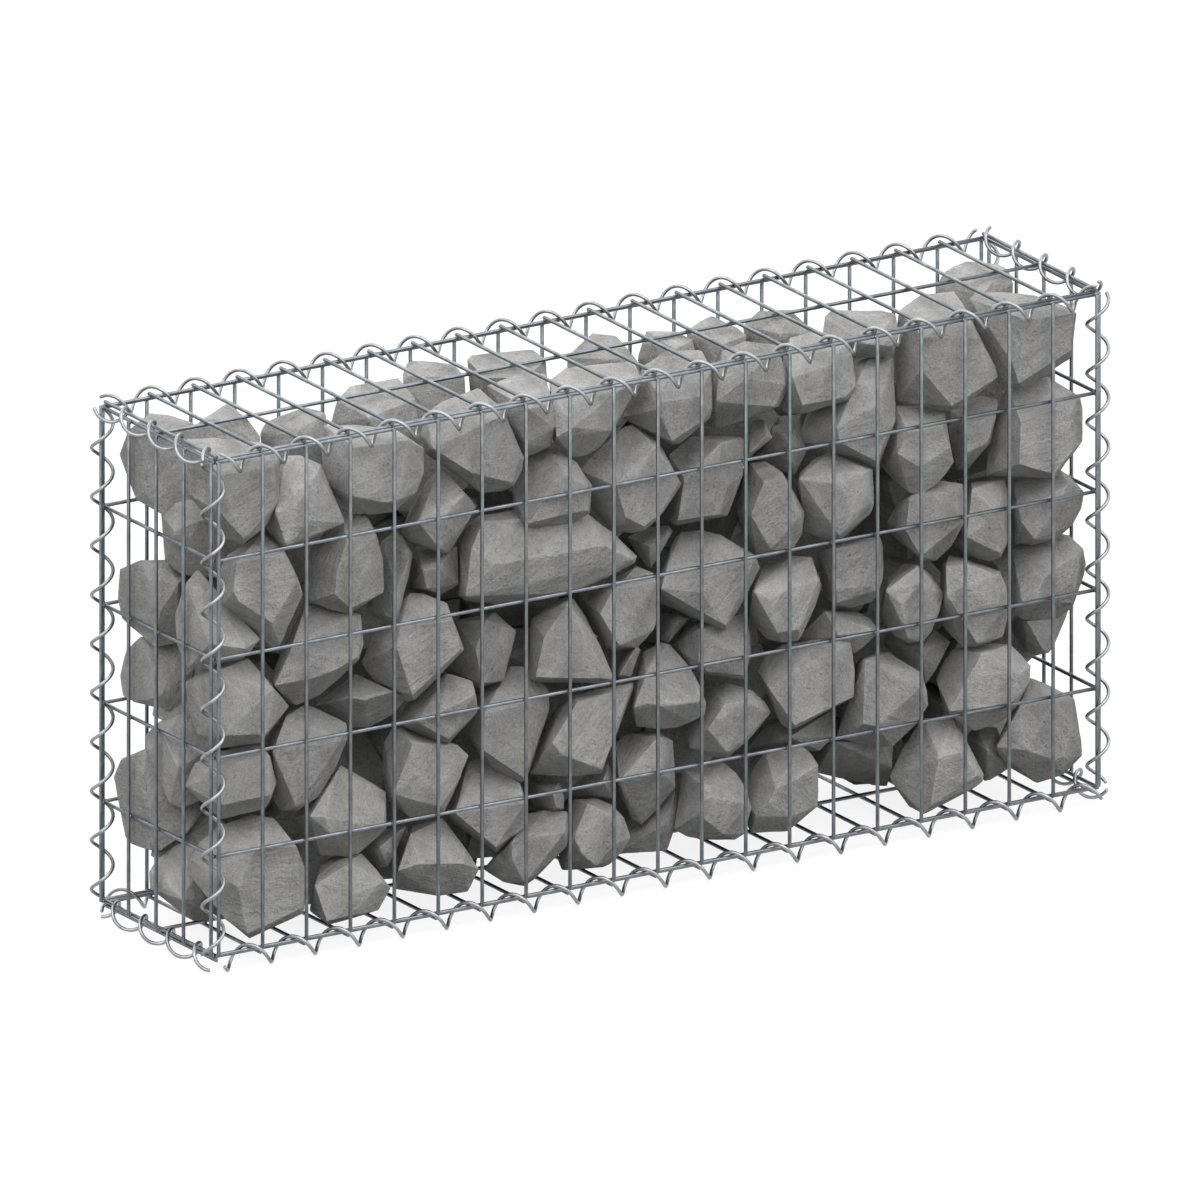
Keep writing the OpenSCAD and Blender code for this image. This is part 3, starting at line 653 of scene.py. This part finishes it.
SHAPED["front_stones_course_6"] = [
    (2, [(-537, 476), (-536, 505), (-540, 535), (-505, 530), (-452, 516), (-431, 497), (-431, 452),
         (-446, 428), (-474, 414, 22), (-480, 416, 26), (-496, 425, 32), (-512, 448)],
     [(-499, 490, 2), (-437, 488, 3), (-483, 443, 1), (-472, 419, 1), (-502, 454, 4), (-435, 450, 3)]),
    (0, [(-448, 428), (-437, 447), (-432, 488), (-424, 498), (-408, 496), (-384, 482), (-374, 455),
         (-356, 417), (-402, 407), (-424, 400), (-432, 403)],
     [(-437, 442, 5), (-413, 443, 0), (-396, 426, 0), (-424, 404, 2), (-388, 474, 9)]),
    (0, [(-383, 462), (-385, 498), (-382, 522), (-345, 516), (-298, 503), (-286, 494), (-266, 478),
         (-266, 452), (-274, 434), (-300, 418, 22), (-328, 420, 26), (-354, 430, 32)],
     [(-352, 465, 3), (-308, 429, 0), (-297, 429, 0), (-284, 489, 5), (-346, 492, 8), (-348, 442, 3)]),
    (0, [(-266, 472), (-272, 494), (-264, 514), (-248, 522), (-205, 530), (-176, 503), (-164, 470),
         (-152, 449), (-154, 436), (-164, 421), (-178, 418, 24), (-202, 420, 26), (-218, 436, 30),
         (-246, 460)],
     [(-212, 443, 0), (-184, 435, 0), (-166, 425, 2), (-182, 494, 5), (-156, 448, 3), (-258, 476, 5)]),
    (10, [(-190, 505), (-196, 530), (-160, 536), (-128, 531), (-120, 500), (-114, 475), (-122, 455),
          (-148, 448), (-155, 455), (-172, 480)],
     [(-150, 462, 4), (-146, 497, 0), (-118, 474, 3)]),
    (0, [(-120, 460), (-114, 478), (-125, 523), (-106, 533), (-28, 527), (-18, 508), (-24, 496),
         (-46, 464), (-66, 444, 20), (-84, 438, 26), (-97, 439, 30)],
     [(-116, 463, 6), (-97, 470, 0), (-54, 459, 0), (-50, 496, 3)]),
    (0, [(-42, 470), (-30, 492), (-18, 520), (10, 531), (50, 524), (62, 503), (63, 462), (60, 452),
         (26, 432, 20), (16, 432), (0, 442)],
     [(-2, 472, 2), (6, 478, 0), (48, 477, 0), (16, 436, 1), (60, 461, 3), (52, 451, 1)]),
    (6, [(54, 447), (64, 472), (64, 502), (72, 520), (100, 525), (136, 515), (147, 484), (150, 468),
         (138, 450), (100, 445), (66, 438)],
     [(66, 468, 6), (102, 486, 2), (146, 472, 4), (134, 451, 1)]),
    (0, [(140, 447), (149, 472), (142, 504), (150, 520), (182, 522), (214, 507), (222, 492), (228, 455),
         (216, 443), (198, 441, 20), (164, 438, 24), (148, 441)],
     [(165, 447, 1), (153, 478, 4), (202, 484, 0), (214, 447, 1), (225, 456, 3)]),
    (14, [(186, 514), (190, 535), (197, 540), (254, 530), (272, 523), (276, 500), (270, 480), (224, 484),
          (205, 498)],
     [(240, 497, 0), (268, 490, 4)]),
    (0, [(272, 433), (274, 468), (268, 482), (274, 526), (299, 538), (338, 535), (352, 514), (368, 486),
         (386, 448), (389, 438), (350, 414, 18), (334, 412, 20), (324, 414)],
     [(300, 461, 2), (303, 493, 6), (366, 481, 3), (336, 417, 1), (382, 435, 2)]),
    (0, [(384, 436), (378, 458), (360, 492), (354, 525), (362, 530), (398, 524), (430, 515), (472, 494),
         (478, 488), (474, 450), (470, 442, 14), (418, 422, 18), (394, 424)],
     [(404, 450, 3), (412, 427, 1), (420, 491, 2), (476, 488, 3), (472, 451, 1)]),
]

# Stones of the back layer that show at the left end, through the lid, or deep in the gaps of the front
SHAPED["back_stones_course_1"] = [
    (60, [(-581, 100), (-572, 111), (-550, 123), (-533, 126), (-512, 112), (-488, 60), (-490, 36),
          (-530, 40), (-545, 52), (-580, 82)],
     [(-556, 78, 0), (-543, 64, 0)]),
    (50, [(-425, 62), (-415, 100), (-368, 104), (-372, 44), (-398, 34)]),
    (50, [(-345, 60), (-330, 100), (-285, 95), (-276, 56), (-300, 44), (-330, 48)]),
    (45, [(-222, 48), (-210, 84), (-168, 80), (-172, 46)]),
]
SHAPED["back_stones_course_2"] = [
    (90, [(-622, 206), (-612, 221), (-584, 227), (-560, 200), (-522, 160), (-520, 148), (-536, 132),
          (-570, 117), (-602, 131), (-608, 139), (-618, 180)],
     [(-587, 200, 0), (-584, 159, 0)]),
    (75, [(-580, 116), (-566, 145), (-510, 155), (-485, 125), (-505, 92), (-555, 98)]),
    (60, [(-172, 92), (-162, 166), (-92, 166), (-80, 104), (-120, 82)]),
    (55, [(-22, 108), (-12, 168), (52, 170), (84, 118), (40, 92)]),
    (55, [(362, 142), (370, 196), (438, 196), (452, 160), (414, 136)]),
]
SHAPED["back_stones_course_3"] = [
    (60, [(-585, 240), (-571, 251), (-543, 257), (-527, 234), (-502, 216), (-510, 164), (-543, 157),
          (-558, 166), (-569, 192), (-584, 226)],
     [(-565, 236, 0), (-548, 200, 0)]),
    (70, [(-578, 258), (-568, 300), (-548, 345), (-500, 350), (-470, 300), (-495, 245), (-550, 242)]),
    (60, [(146, 206), (148, 272), (222, 278), (244, 240), (200, 196)]),
    (55, [(212, 172), (220, 224), (284, 226), (302, 190), (262, 164)]),
]
SHAPED["back_stones_course_4"] = [
    (90, [(-615, 307), (-607, 330), (-590, 342), (-570, 334), (-540, 325), (-529, 298), (-533, 268),
          (-558, 259), (-598, 275), (-611, 284)],
     [(-600, 283, 0), (-568, 276, 0)]),
    (75, [(-530, 352), (-524, 398), (-484, 404), (-462, 372), (-490, 340)]),
    (60, [(368, 302), (378, 352), (452, 352), (464, 310), (414, 250)]),
]
SHAPED["back_stones_course_5"] = [
    (90, [(-617, 384), (-614, 414), (-590, 420), (-561, 415), (-531, 396), (-540, 355), (-548, 327),
          (-574, 327), (-612, 363)],
     [(-582, 397, 0), (-547, 388, 0), (-568, 362, 0)]),
    (60, [(-567, 462), (-563, 414), (-550, 401), (-540, 395), (-490, 382), (-472, 412), (-480, 455),
          (-534, 474), (-550, 474)],
     [(-552, 440, 0)]),
    (60, [(128, 366), (138, 424), (222, 424), (234, 380), (180, 348)]),
]
SHAPED["back_stones_course_6"] = [
    (90, [(-615, 531), (-605, 554), (-580, 568), (-560, 563), (-530, 549), (-520, 530), (-520, 470),
          (-545, 455), (-566, 461), (-596, 481), (-608, 511)],
     [(-590, 545, 0), (-586, 490, 0)]),
    (70, [(-528, 545), (-520, 551), (-490, 563), (-468, 543), (-453, 522), (-455, 470), (-500, 440),
          (-525, 480)]),
    (70, [(-454, 526), (-447, 536), (-403, 544), (-379, 534), (-372, 500), (-380, 450), (-420, 430),
          (-450, 470)],
     [(-410, 520, 0)]),
    (75, [(-374, 520), (-366, 544), (-351, 556), (-296, 555), (-276, 530), (-270, 490), (-290, 440),
          (-350, 440)],
     [(-330, 520, 0)]),
    (90, [(-292, 556), (-286, 569), (-277, 570), (-232, 558), (-220, 543), (-216, 480), (-240, 430),
          (-285, 450)]),
    (75, [(-218, 560), (-213, 564), (-180, 563), (-143, 558), (-127, 545), (-124, 500), (-140, 440),
          (-190, 440), (-212, 500)],
     [(-198, 538, 4), (-150, 530, 0)]),
    (75, [(-104, 543), (-75, 563), (-48, 556), (-23, 526), (-20, 480), (-60, 440), (-100, 470)]),
    (70, [(-24, 527), (-19, 542), (-13, 554), (21, 548), (40, 536), (48, 500), (30, 440), (-10, 450)],
     [(20, 530, 0)]),
    (80, [(32, 546), (51, 555), (62, 557), (90, 541), (102, 530), (98, 480), (70, 440), (40, 460)],
     [(72, 525, 0)]),
    (70, [(97, 541), (115, 553), (151, 548), (161, 537), (180, 520), (176, 470), (140, 430), (104, 460)],
     [(140, 525, 0)]),
    (75, [(190, 512), (215, 520), (262, 512), (280, 470), (250, 430), (200, 440)]),
    (85, [(317, 540), (325, 555), (336, 560), (352, 563), (388, 554), (400, 546), (407, 530), (404, 470),
          (360, 440), (322, 470)],
     [(372, 530, 0)]),
    (55, [(345, 385), (352, 462), (420, 470), (452, 430), (420, 380)]),
    (55, [(20, 402), (26, 470), (110, 480), (140, 440), (100, 396)]),
    (55, [(-302, 420), (-296, 480), (-232, 484), (-216, 430), (-260, 408)]),
]
print("hand-shaped stones:", sum(len(stones) for stones in SHAPED.values()))

# %% [markdown]
# ## From outline to block
# A corner of an outline says where a corner shows, not where it is: it may lie anywhere on the line of sight
# through that place. Its depth settles that. Where that depth is outside the basket, the corner stops at the
# nearest place on the line that is inside. The convex hull of all corners, with smaller copies of the outline
# behind them, is the stone's block, and planes that touch the spirals trim it, as they trim the solid stones.

# %% Lines of sight
VIEW_TURN = math.radians(-31.8)
VIEW_RISE = math.radians(18.0)
SLIDE_X = math.tan(-VIEW_TURN)
SLIDE_Z = math.tan(VIEW_RISE) / math.cos(VIEW_TURN)
WIRE_ROOM = 0.0005
SPIRAL_ROOM = 0.0123
NEAREST_CORNER = 0.013
STONE_DEPTH = 0.046
# copies of the outline: how far behind the stone's front, and how large
FAR_SIDE = {"front": [(0.062, 0.5)], "back": [(0.085, 0.9), (0.125, 0.7)]}
# the way from a stone's nearest corner to its farthest, as seen
AWAY = Vector((-0.86, 0.5))
MM = 0.001

room_low = Vector((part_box("left_end_mesh")[1].x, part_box("front_mesh")[1].y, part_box("base_mesh")[1].z))
room_high = Vector((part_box("right_end_mesh")[0].x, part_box("back_mesh")[0].y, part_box("lid_mesh")[0].z))
room_low += Vector((WIRE_ROOM, WIRE_ROOM, WIRE_ROOM))
room_high -= Vector((WIRE_ROOM, WIRE_ROOM, WIRE_ROOM))
mesh_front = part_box("front_mesh")[0].y + WIRE_R
mesh_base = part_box("front_mesh")[0].z + WIRE_END


def seen_at(x, z, depth):
    """The point inside the basket that shows at (x, z) on the front mesh, as near as can be to a depth."""
    z += mesh_base
    ahead = room_low.y - mesh_front
    least = max((room_low.x - x) / SLIDE_X, (z - room_high.z) / SLIDE_Z) - ahead
    most = min((room_high.x - x) / SLIDE_X, (z - room_low.z) / SLIDE_Z, room_high.y - mesh_front) - ahead
    depth = max(0.0, min(max(depth, least), most))
    return Vector((x + SLIDE_X * (ahead + depth), room_low.y + depth, z - SLIDE_Z * (ahead + depth)))


def shaped_corners(layer, set_back, outline, ridges=()):
    """All corners of a stone from the lists of outlines."""
    middle = sum((Vector(corner[:2]) for corner in outline), Vector((0.0, 0.0))) / len(outline)
    far_corner = max((Vector(corner[:2]) for corner in outline), key=AWAY.dot)
    shrink_to = middle if layer == "front" else far_corner
    corners = []
    for x, z, *depth in outline:
        way = (Vector((x, z)) - middle).normalized()
        turned_away = (1.0 + way.dot(AWAY)) / 2
        depth = depth[0] * MM if depth else NEAREST_CORNER + STONE_DEPTH * turned_away
        corners.append(seen_at(x * MM, z * MM, set_back * MM + depth))
        for reach, ring_size in FAR_SIDE[layer]:
            across, up = shrink_to + (Vector((x, z)) - shrink_to) * ring_size
            corners.append(seen_at(across * MM, up * MM, set_back * MM + reach))
    for x, z, depth in ridges:
        corners.append(seen_at(x * MM, z * MM, (set_back + depth) * MM))
    return corners


def spiral_planes():
    """For each edge of the basket, a point and an outward normal of the plane that touches its spiral."""
    planes = []
    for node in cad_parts:
        if node.startswith("spiral_"):
            low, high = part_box(node)
            axis = (low + high) / 2
            out = axis - (room_low + room_high) / 2
            run = max(range(3), key=lambda k: high[k] - low[k])
            out = Vector([0.0 if k == run else math.copysign(1.0, out[k]) for k in range(3)]).normalized()
            planes.append((axis - out * SPIRAL_ROOM, out))
    return planes


edge_planes = spiral_planes()
print("room for stones:", [round(x, 3) for x in room_high - room_low], "m,", len(edge_planes), "edges")

# %% [markdown]
# ## Broken stone: from block to stone
# A block has knife edges and flat faces. A real broken stone has the same big faces, but every edge has lost
# a millimetre or two, and no face is quite flat. So each block is taken through the same steps: merge its
# tiniest edges, bevel the rest, cut the faces into small triangles, and push those in and out by noise. The
# push is inward on the whole, so that a stone never grows out of its room. Many stones at the back start from
# the solid blocks of the frame. All at the back lose a few corners first, as if to a hammer, and are cut into
# larger triangles, because the wires and the front stones half hide them.

# %% Stone shapes
SMALLEST_EDGE = 0.005
SAME_POINT = 0.0001
SAME_CORNER = 1e-5
CORNER_DIGITS = 6
BEYOND = 1e-6
TINIEST = 1e-12
SAME_FACE = math.radians(8.0)
FACET_STEP = {"front": 0.0085, "back": 0.012}
ROUNDING = (0.0008, 0.0015)
KNOCKS = 3
SHAPED_KNOCKS = {"front": 0, "back": 2}
KNOCK_DEPTH = (0.03, 0.09)
KNOCK_TILT = 0.35
KNOCKED_EDGE = 0.0008
KNOCKED_SPOTS = 60.0
EDGE_STEPS = 2
EDGE_ROUNDNESS = 0.6
MOST_CUTS = 5
# the surface's noises: features to the metre, height
SWELL = (28.0, 0.0005)
DENTS = (75.0, 0.00028)
CHIPS = (170.0, 0.00016)
NOISE_PLACES = 5.0
INWARD = 0.0005
# blocks of the frame further left than this, and those of the top course, give way to the listed stones
SHAPED_END = -0.415
TOP_COURSE = "back_stones_course_6"
draws = random.Random(11)


def blocks_of(node):
    """The corner points of each separate block in a CAD node."""
    mesh = bmesh.new()
    mesh.from_mesh(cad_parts[node].data)
    bmesh.ops.remove_doubles(mesh, verts=mesh.verts, dist=SAME_CORNER)
    waiting = set(mesh.verts)
    blocks = []
    while waiting:
        found = {waiting.pop()}
        edge_of_search = list(found)
        while edge_of_search:
            corner = edge_of_search.pop()
            for edge in corner.link_edges:
                other = edge.other_vert(corner)
                if other not in found:
                    found.add(other)
                    edge_of_search.append(other)
        waiting -= found
        blocks.append(sorted(tuple(round(x, CORNER_DIGITS) for x in v.co) for v in found))
    mesh.free()
    return sorted(blocks)


def convex_block(points):
    """The convex hull of points, without its tiniest edges, and with nearly flat faces joined."""
    mesh = bmesh.new()
    for point in points:
        mesh.verts.new(point)
    bmesh.ops.remove_doubles(mesh, verts=mesh.verts, dist=SMALLEST_EDGE)
    made = bmesh.ops.convex_hull(mesh, input=mesh.verts)
    inside = [v for v in made["geom_interior"] if isinstance(v, bmesh.types.BMVert)]
    bmesh.ops.delete(mesh, geom=inside, context="VERTS")
    bmesh.ops.dissolve_limit(mesh, angle_limit=SAME_FACE, verts=mesh.verts, edges=mesh.edges)
    return mesh


def cut_off(mesh, point, out):
    """Cuts away what lies beyond a plane."""
    if all(out.dot(v.co - point) < BEYOND for v in mesh.verts):
        return
    geometry = list(mesh.verts) + list(mesh.edges) + list(mesh.faces)
    cut = bmesh.ops.bisect_plane(mesh, geom=geometry, plane_co=point, plane_no=out, clear_outer=True)
    rim = [edge for edge in cut["geom_cut"] if isinstance(edge, bmesh.types.BMEdge)]
    bmesh.ops.edgeloop_fill(mesh, edges=rim)


def knock(mesh, middle, size):
    """Knocks off one corner with a plane that faces outwards from the block's middle."""
    corner = draws.choice(sorted(mesh.verts, key=lambda v: tuple(v.co)))
    way = (corner.co - middle).normalized()
    way += Vector([draws.uniform(-KNOCK_TILT, KNOCK_TILT) for _ in range(3)])
    way.normalize()
    reach = max(way.dot(v.co) for v in mesh.verts) - size * draws.uniform(*KNOCK_DEPTH)
    cut_off(mesh, way * reach, way)


def tidy_block(mesh):
    """The same block, made again from its corners."""
    points = [v.co.copy() for v in mesh.verts]
    mesh.free()
    return convex_block(points)


def cut_triangle(points, face, middles):
    """The triangles that are left of one when some of its sides are cut in the middle."""
    a, b, c, on_edge = face
    ab, bc, ca = [middles.get(tuple(sorted(side))) for side in ((a, b), (b, c), (c, a))]
    cuts = 3 - [ab, bc, ca].count(None)
    while 0 < cuts < 3 and (ab is None or ca is not None):
        a, b, c = b, c, a
        ab, bc, ca = bc, ca, ab
    if cuts == 0:
        left = [(a, b, c)]
    elif cuts == 1:
        left = [(a, ab, c), (ab, b, c)]
    elif cuts == 3:
        left = [(a, ab, ca), (ab, b, bc), (ca, bc, c), (ab, bc, ca)]
    elif (points[a] - points[bc]).length < (points[ab] - points[c]).length:
        left = [(ab, b, bc), (a, ab, bc), (a, bc, c)]
    else:
        left = [(ab, b, bc), (a, ab, c), (ab, bc, c)]
    return [(*corners, on_edge) for corners in left]


def cut_small(points, faces, facet_step):
    """Cuts triangles until their sides are under a facet step. New points go to the end of the list."""
    for _ in range(MOST_CUTS):
        middles = {}
        for a, b, c, _on_edge in faces:
            for side in ((a, b), (b, c), (c, a)):
                side = tuple(sorted(side))
                if side not in middles and (points[side[0]] - points[side[1]]).length > facet_step:
                    middles[side] = len(points)
                    points.append((points[side[0]] + points[side[1]]) / 2)
        if not middles:
            break
        faces = [piece for face in faces for piece in cut_triangle(points, face, middles)]
    return faces


def normals_and_edge_share(points, faces):
    """For each point, the way out of the stone, and the share of its faces that lie on rounded edges."""
    places, faces = np.array(points), np.array(faces)
    first, second, third = (places[faces[:, k]] for k in range(3))
    ways = np.cross(second - first, third - first)
    normals, wear, used = np.zeros_like(places), np.zeros(len(places)), np.zeros(len(places))
    for k in range(3):
        np.add.at(normals, faces[:, k], ways)
        np.add.at(wear, faces[:, k], faces[:, 3])
        np.add.at(used, faces[:, k], 1)
    lengths = np.linalg.norm(normals, axis=1, keepdims=True)
    return normals / np.maximum(lengths, TINIEST), wear / np.maximum(used, 1)


def rough(point, shift):
    """How far a stone's surface is pushed in or out at a point, in metres."""
    place = point + shift
    return sum(height * noise.noise(place * scale) for scale, height in (SWELL, DENTS, CHIPS))


def broken_stone(points, knocks, facet_step):
    """One stone: its points, its faces, and each point's share of rounded edge and its place in the rock's
    own beds.
    """
    mesh = convex_block(points)
    for plane in edge_planes:
        cut_off(mesh, *plane)
    middle = sum((v.co for v in mesh.verts), Vector()) / len(mesh.verts)
    size = sum((v.co - middle).length for v in mesh.verts) / len(mesh.verts)
    for _ in range(knocks):
        knock(mesh, middle, size)
    mesh = tidy_block(mesh)
    on_edge = mesh.faces.layers.int.new("on_edge")
    rounded = bmesh.ops.bevel(
        mesh, geom=mesh.edges[:], offset=draws.uniform(*ROUNDING), segments=EDGE_STEPS,
        profile=EDGE_ROUNDNESS, affect="EDGES", clamp_overlap=True,
    )
    for face in mesh.faces:
        face[on_edge] = 0
    for face in rounded["faces"]:
        face[on_edge] = 1
    bmesh.ops.remove_doubles(mesh, verts=mesh.verts, dist=SAME_POINT)
    bmesh.ops.dissolve_degenerate(mesh, dist=SAME_POINT, edges=mesh.edges)
    bmesh.ops.triangulate(mesh, faces=mesh.faces)
    mesh.verts.index_update()
    points = [v.co.copy() for v in mesh.verts]
    faces = [(*(v.index for v in face.verts), face[on_edge]) for face in mesh.faces]
    mesh.free()
    faces = cut_small(points, faces, facet_step)
    normals, wear = normals_and_edge_share(points, faces)
    shift = Vector([draws.uniform(-NOISE_PLACES, NOISE_PLACES) for _ in range(3)])
    moved = []
    for point, normal, edge_share_here in zip(points, normals, wear):
        chip = KNOCKED_EDGE * max(0.0, noise.noise((point + shift) * KNOCKED_SPOTS)) * edge_share_here
        moved.append(point + Vector(normal) * (rough(point, shift) - INWARD - chip))
    split_way = Euler([draws.uniform(-math.pi, math.pi) for _ in range(3)]).to_matrix()
    bed = [split_way @ (point + shift) for point in moved]
    return np.array(moved), [face[:3] for face in faces], wear, bed


def course(node):
    """One course of stones in place of a CAD node."""
    layer = node.split("_")[0]
    blocks = [(shaped_corners(layer, *shape), SHAPED_KNOCKS[layer]) for shape in SHAPED[node]]
    if layer == "back" and node != TOP_COURSE:
        solid = [points for points in blocks_of(node) if np.mean(points, axis=0)[0] > SHAPED_END]
        blocks += [(points, KNOCKS) for points in solid]
    parts, edge_shares, tints, beds = [], [], [], []
    for points, knocks in blocks:
        stone_points, faces, wear, bed = broken_stone(points, knocks, FACET_STEP[layer])
        parts.append((stone_points, faces))
        edge_shares.extend(wear)
        beds.extend(bed)
        tints.extend([draws.uniform(-1.0, 1.0)] * len(stone_points))
    piece = piece_from(node + ".rock", parts, stone)
    for name, values in (("wear", edge_shares), ("tint", tints)):
        piece.data.attributes.new(name, "FLOAT", "POINT").data.foreach_set("value", values)
    piece.data.attributes.new("bed", "FLOAT_VECTOR", "POINT").data.foreach_set("vector", np.ravel(beds))
    piece.modifiers.new("flat faces", "WEIGHTED_NORMAL")
    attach(piece, "root")
    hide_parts(node)
    print(node, len(parts), "stones,", triangles(piece), "triangles")


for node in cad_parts:
    if "_stones_" in node:
        course(node)

# %% [markdown]
# ## Light, floor and camera
# The wall stands in a bright studio with two big soft lamps high over its front, one on each side, and one
# behind, so the tops of the stones are light, their undersides dark, and no wire throws a hard shadow. A dim
# sky fills in. The floor sends little light back up. To the camera, and in the metal's reflections, sky and
# floor glow up to white, and where the wall keeps light off the floor a faint shadow stays.

# %% Studio light
SKY_LIGHT = 0.27
LAMP_ANGLE = math.radians(70.0)
# lamp: power, and the way to it from the wall
LAMPS = {
    "left lamp": (2.45, Vector((-0.55, -0.40, 0.85))),
    "right lamp": (1.95, Vector((0.50, -0.60, 0.75))),
    "back lamp": (1.9, Vector((0.10, 0.80, 0.60))),
}


def seen_rays(tree):
    """1 for what the camera sees, also by way of metal or glass, and 0 for light on its way to a surface."""
    ray = tree.nodes.new("ShaderNodeLightPath").outputs
    seen = Shade(tree, ray["Is Camera Ray"]) + Shade(tree, ray["Is Glossy Ray"])
    seen = seen + Shade(tree, ray["Is Transmission Ray"])
    return seen.math("MINIMUM", seen, 1.0)


def studio_sky():
    world = bpy.data.worlds.new("white sky")
    world.use_nodes = True
    bpy.context.scene.world = world
    sky = world.node_tree.nodes["Background"]
    sky.inputs["Color"].default_value = (1.0, 1.0, 1.0, 1.0)
    seen = seen_rays(world.node_tree)
    plug(SKY_LIGHT + seen * (1.0 - SKY_LIGHT), sky.inputs["Strength"])


def soft_lamp(name, power, way):
    light = bpy.data.lights.new(name, "SUN")
    light.energy = power
    light.angle = LAMP_ANGLE
    lamp = bpy.data.objects.new(name, light)
    lamp.rotation_euler = (-way).to_track_quat("-Z", "Y").to_euler()
    bpy.context.scene.collection.objects.link(lamp)


studio_sky()
for name, lamp in LAMPS.items():
    soft_lamp(name, *lamp)
print("light: sky", SKY_LIGHT, "and", len(LAMPS), "lamps")

# %% Floor
FLOOR_SIZE = 30.0
FLOOR_SHADE = 0.12
FLOOR_ROUGHNESS = 0.9
FLOOR_GLOW = 0.86
FLOOR_LEVEL = SOLID_WIRE_R - SPIRAL_WIRE_R


def studio_floor():
    material, shader, _ = new_material("white floor")
    shader.inputs["Base Color"].default_value = (FLOOR_SHADE, FLOOR_SHADE, FLOOR_SHADE, 1.0)
    shader.inputs["Roughness"].default_value = FLOOR_ROUGHNESS
    shader.inputs["Emission Color"].default_value = (1.0, 1.0, 1.0, 1.0)
    plug(seen_rays(material.node_tree) * FLOOR_GLOW, shader.inputs["Emission Strength"])
    mesh = bpy.data.meshes.new("floor")
    half = FLOOR_SIZE / 2
    around = [(-half, -half), (half, -half), (half, half), (-half, half)]
    mesh.from_pydata([(x, y, FLOOR_LEVEL) for x, y in around], [], [(0, 1, 2, 3)])
    mesh.materials.append(material)
    floor = bpy.data.objects.new("floor", mesh)
    bpy.context.scene.collection.objects.link(floor)


studio_floor()
print("floor:", FLOOR_SIZE, "m square")

# %% Camera
PHOTO_WIDTH = 1200
PIXELS_PER_METRE = 1031.3
AIM_OVER_BASE = 0.248
CAMERA_AWAY = 4.0
CAMERA_REACH = 50.0


def photo_camera():
    camera = bpy.data.cameras.new("camera")
    camera.type = "ORTHO"
    camera.ortho_scale = PHOTO_WIDTH / PIXELS_PER_METRE
    camera.clip_end = CAMERA_REACH
    holder = bpy.data.objects.new("camera", camera)
    flat = math.cos(VIEW_RISE)
    back = Vector((math.sin(VIEW_TURN) * flat, -math.cos(VIEW_TURN) * flat, math.sin(VIEW_RISE)))
    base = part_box("front_mesh")[0].z + WIRE_END
    holder.location = Vector((0.0, 0.0, base + AIM_OVER_BASE)) + back * CAMERA_AWAY
    holder.rotation_euler = (-back).to_track_quat("-Z", "Y").to_euler()
    bpy.context.scene.collection.objects.link(holder)
    bpy.context.scene.camera = holder


photo_camera()
bpy.context.scene.view_settings.view_transform = "Standard"
print("camera: flat view,", round(PHOTO_WIDTH / PIXELS_PER_METRE, 3), "m wide")
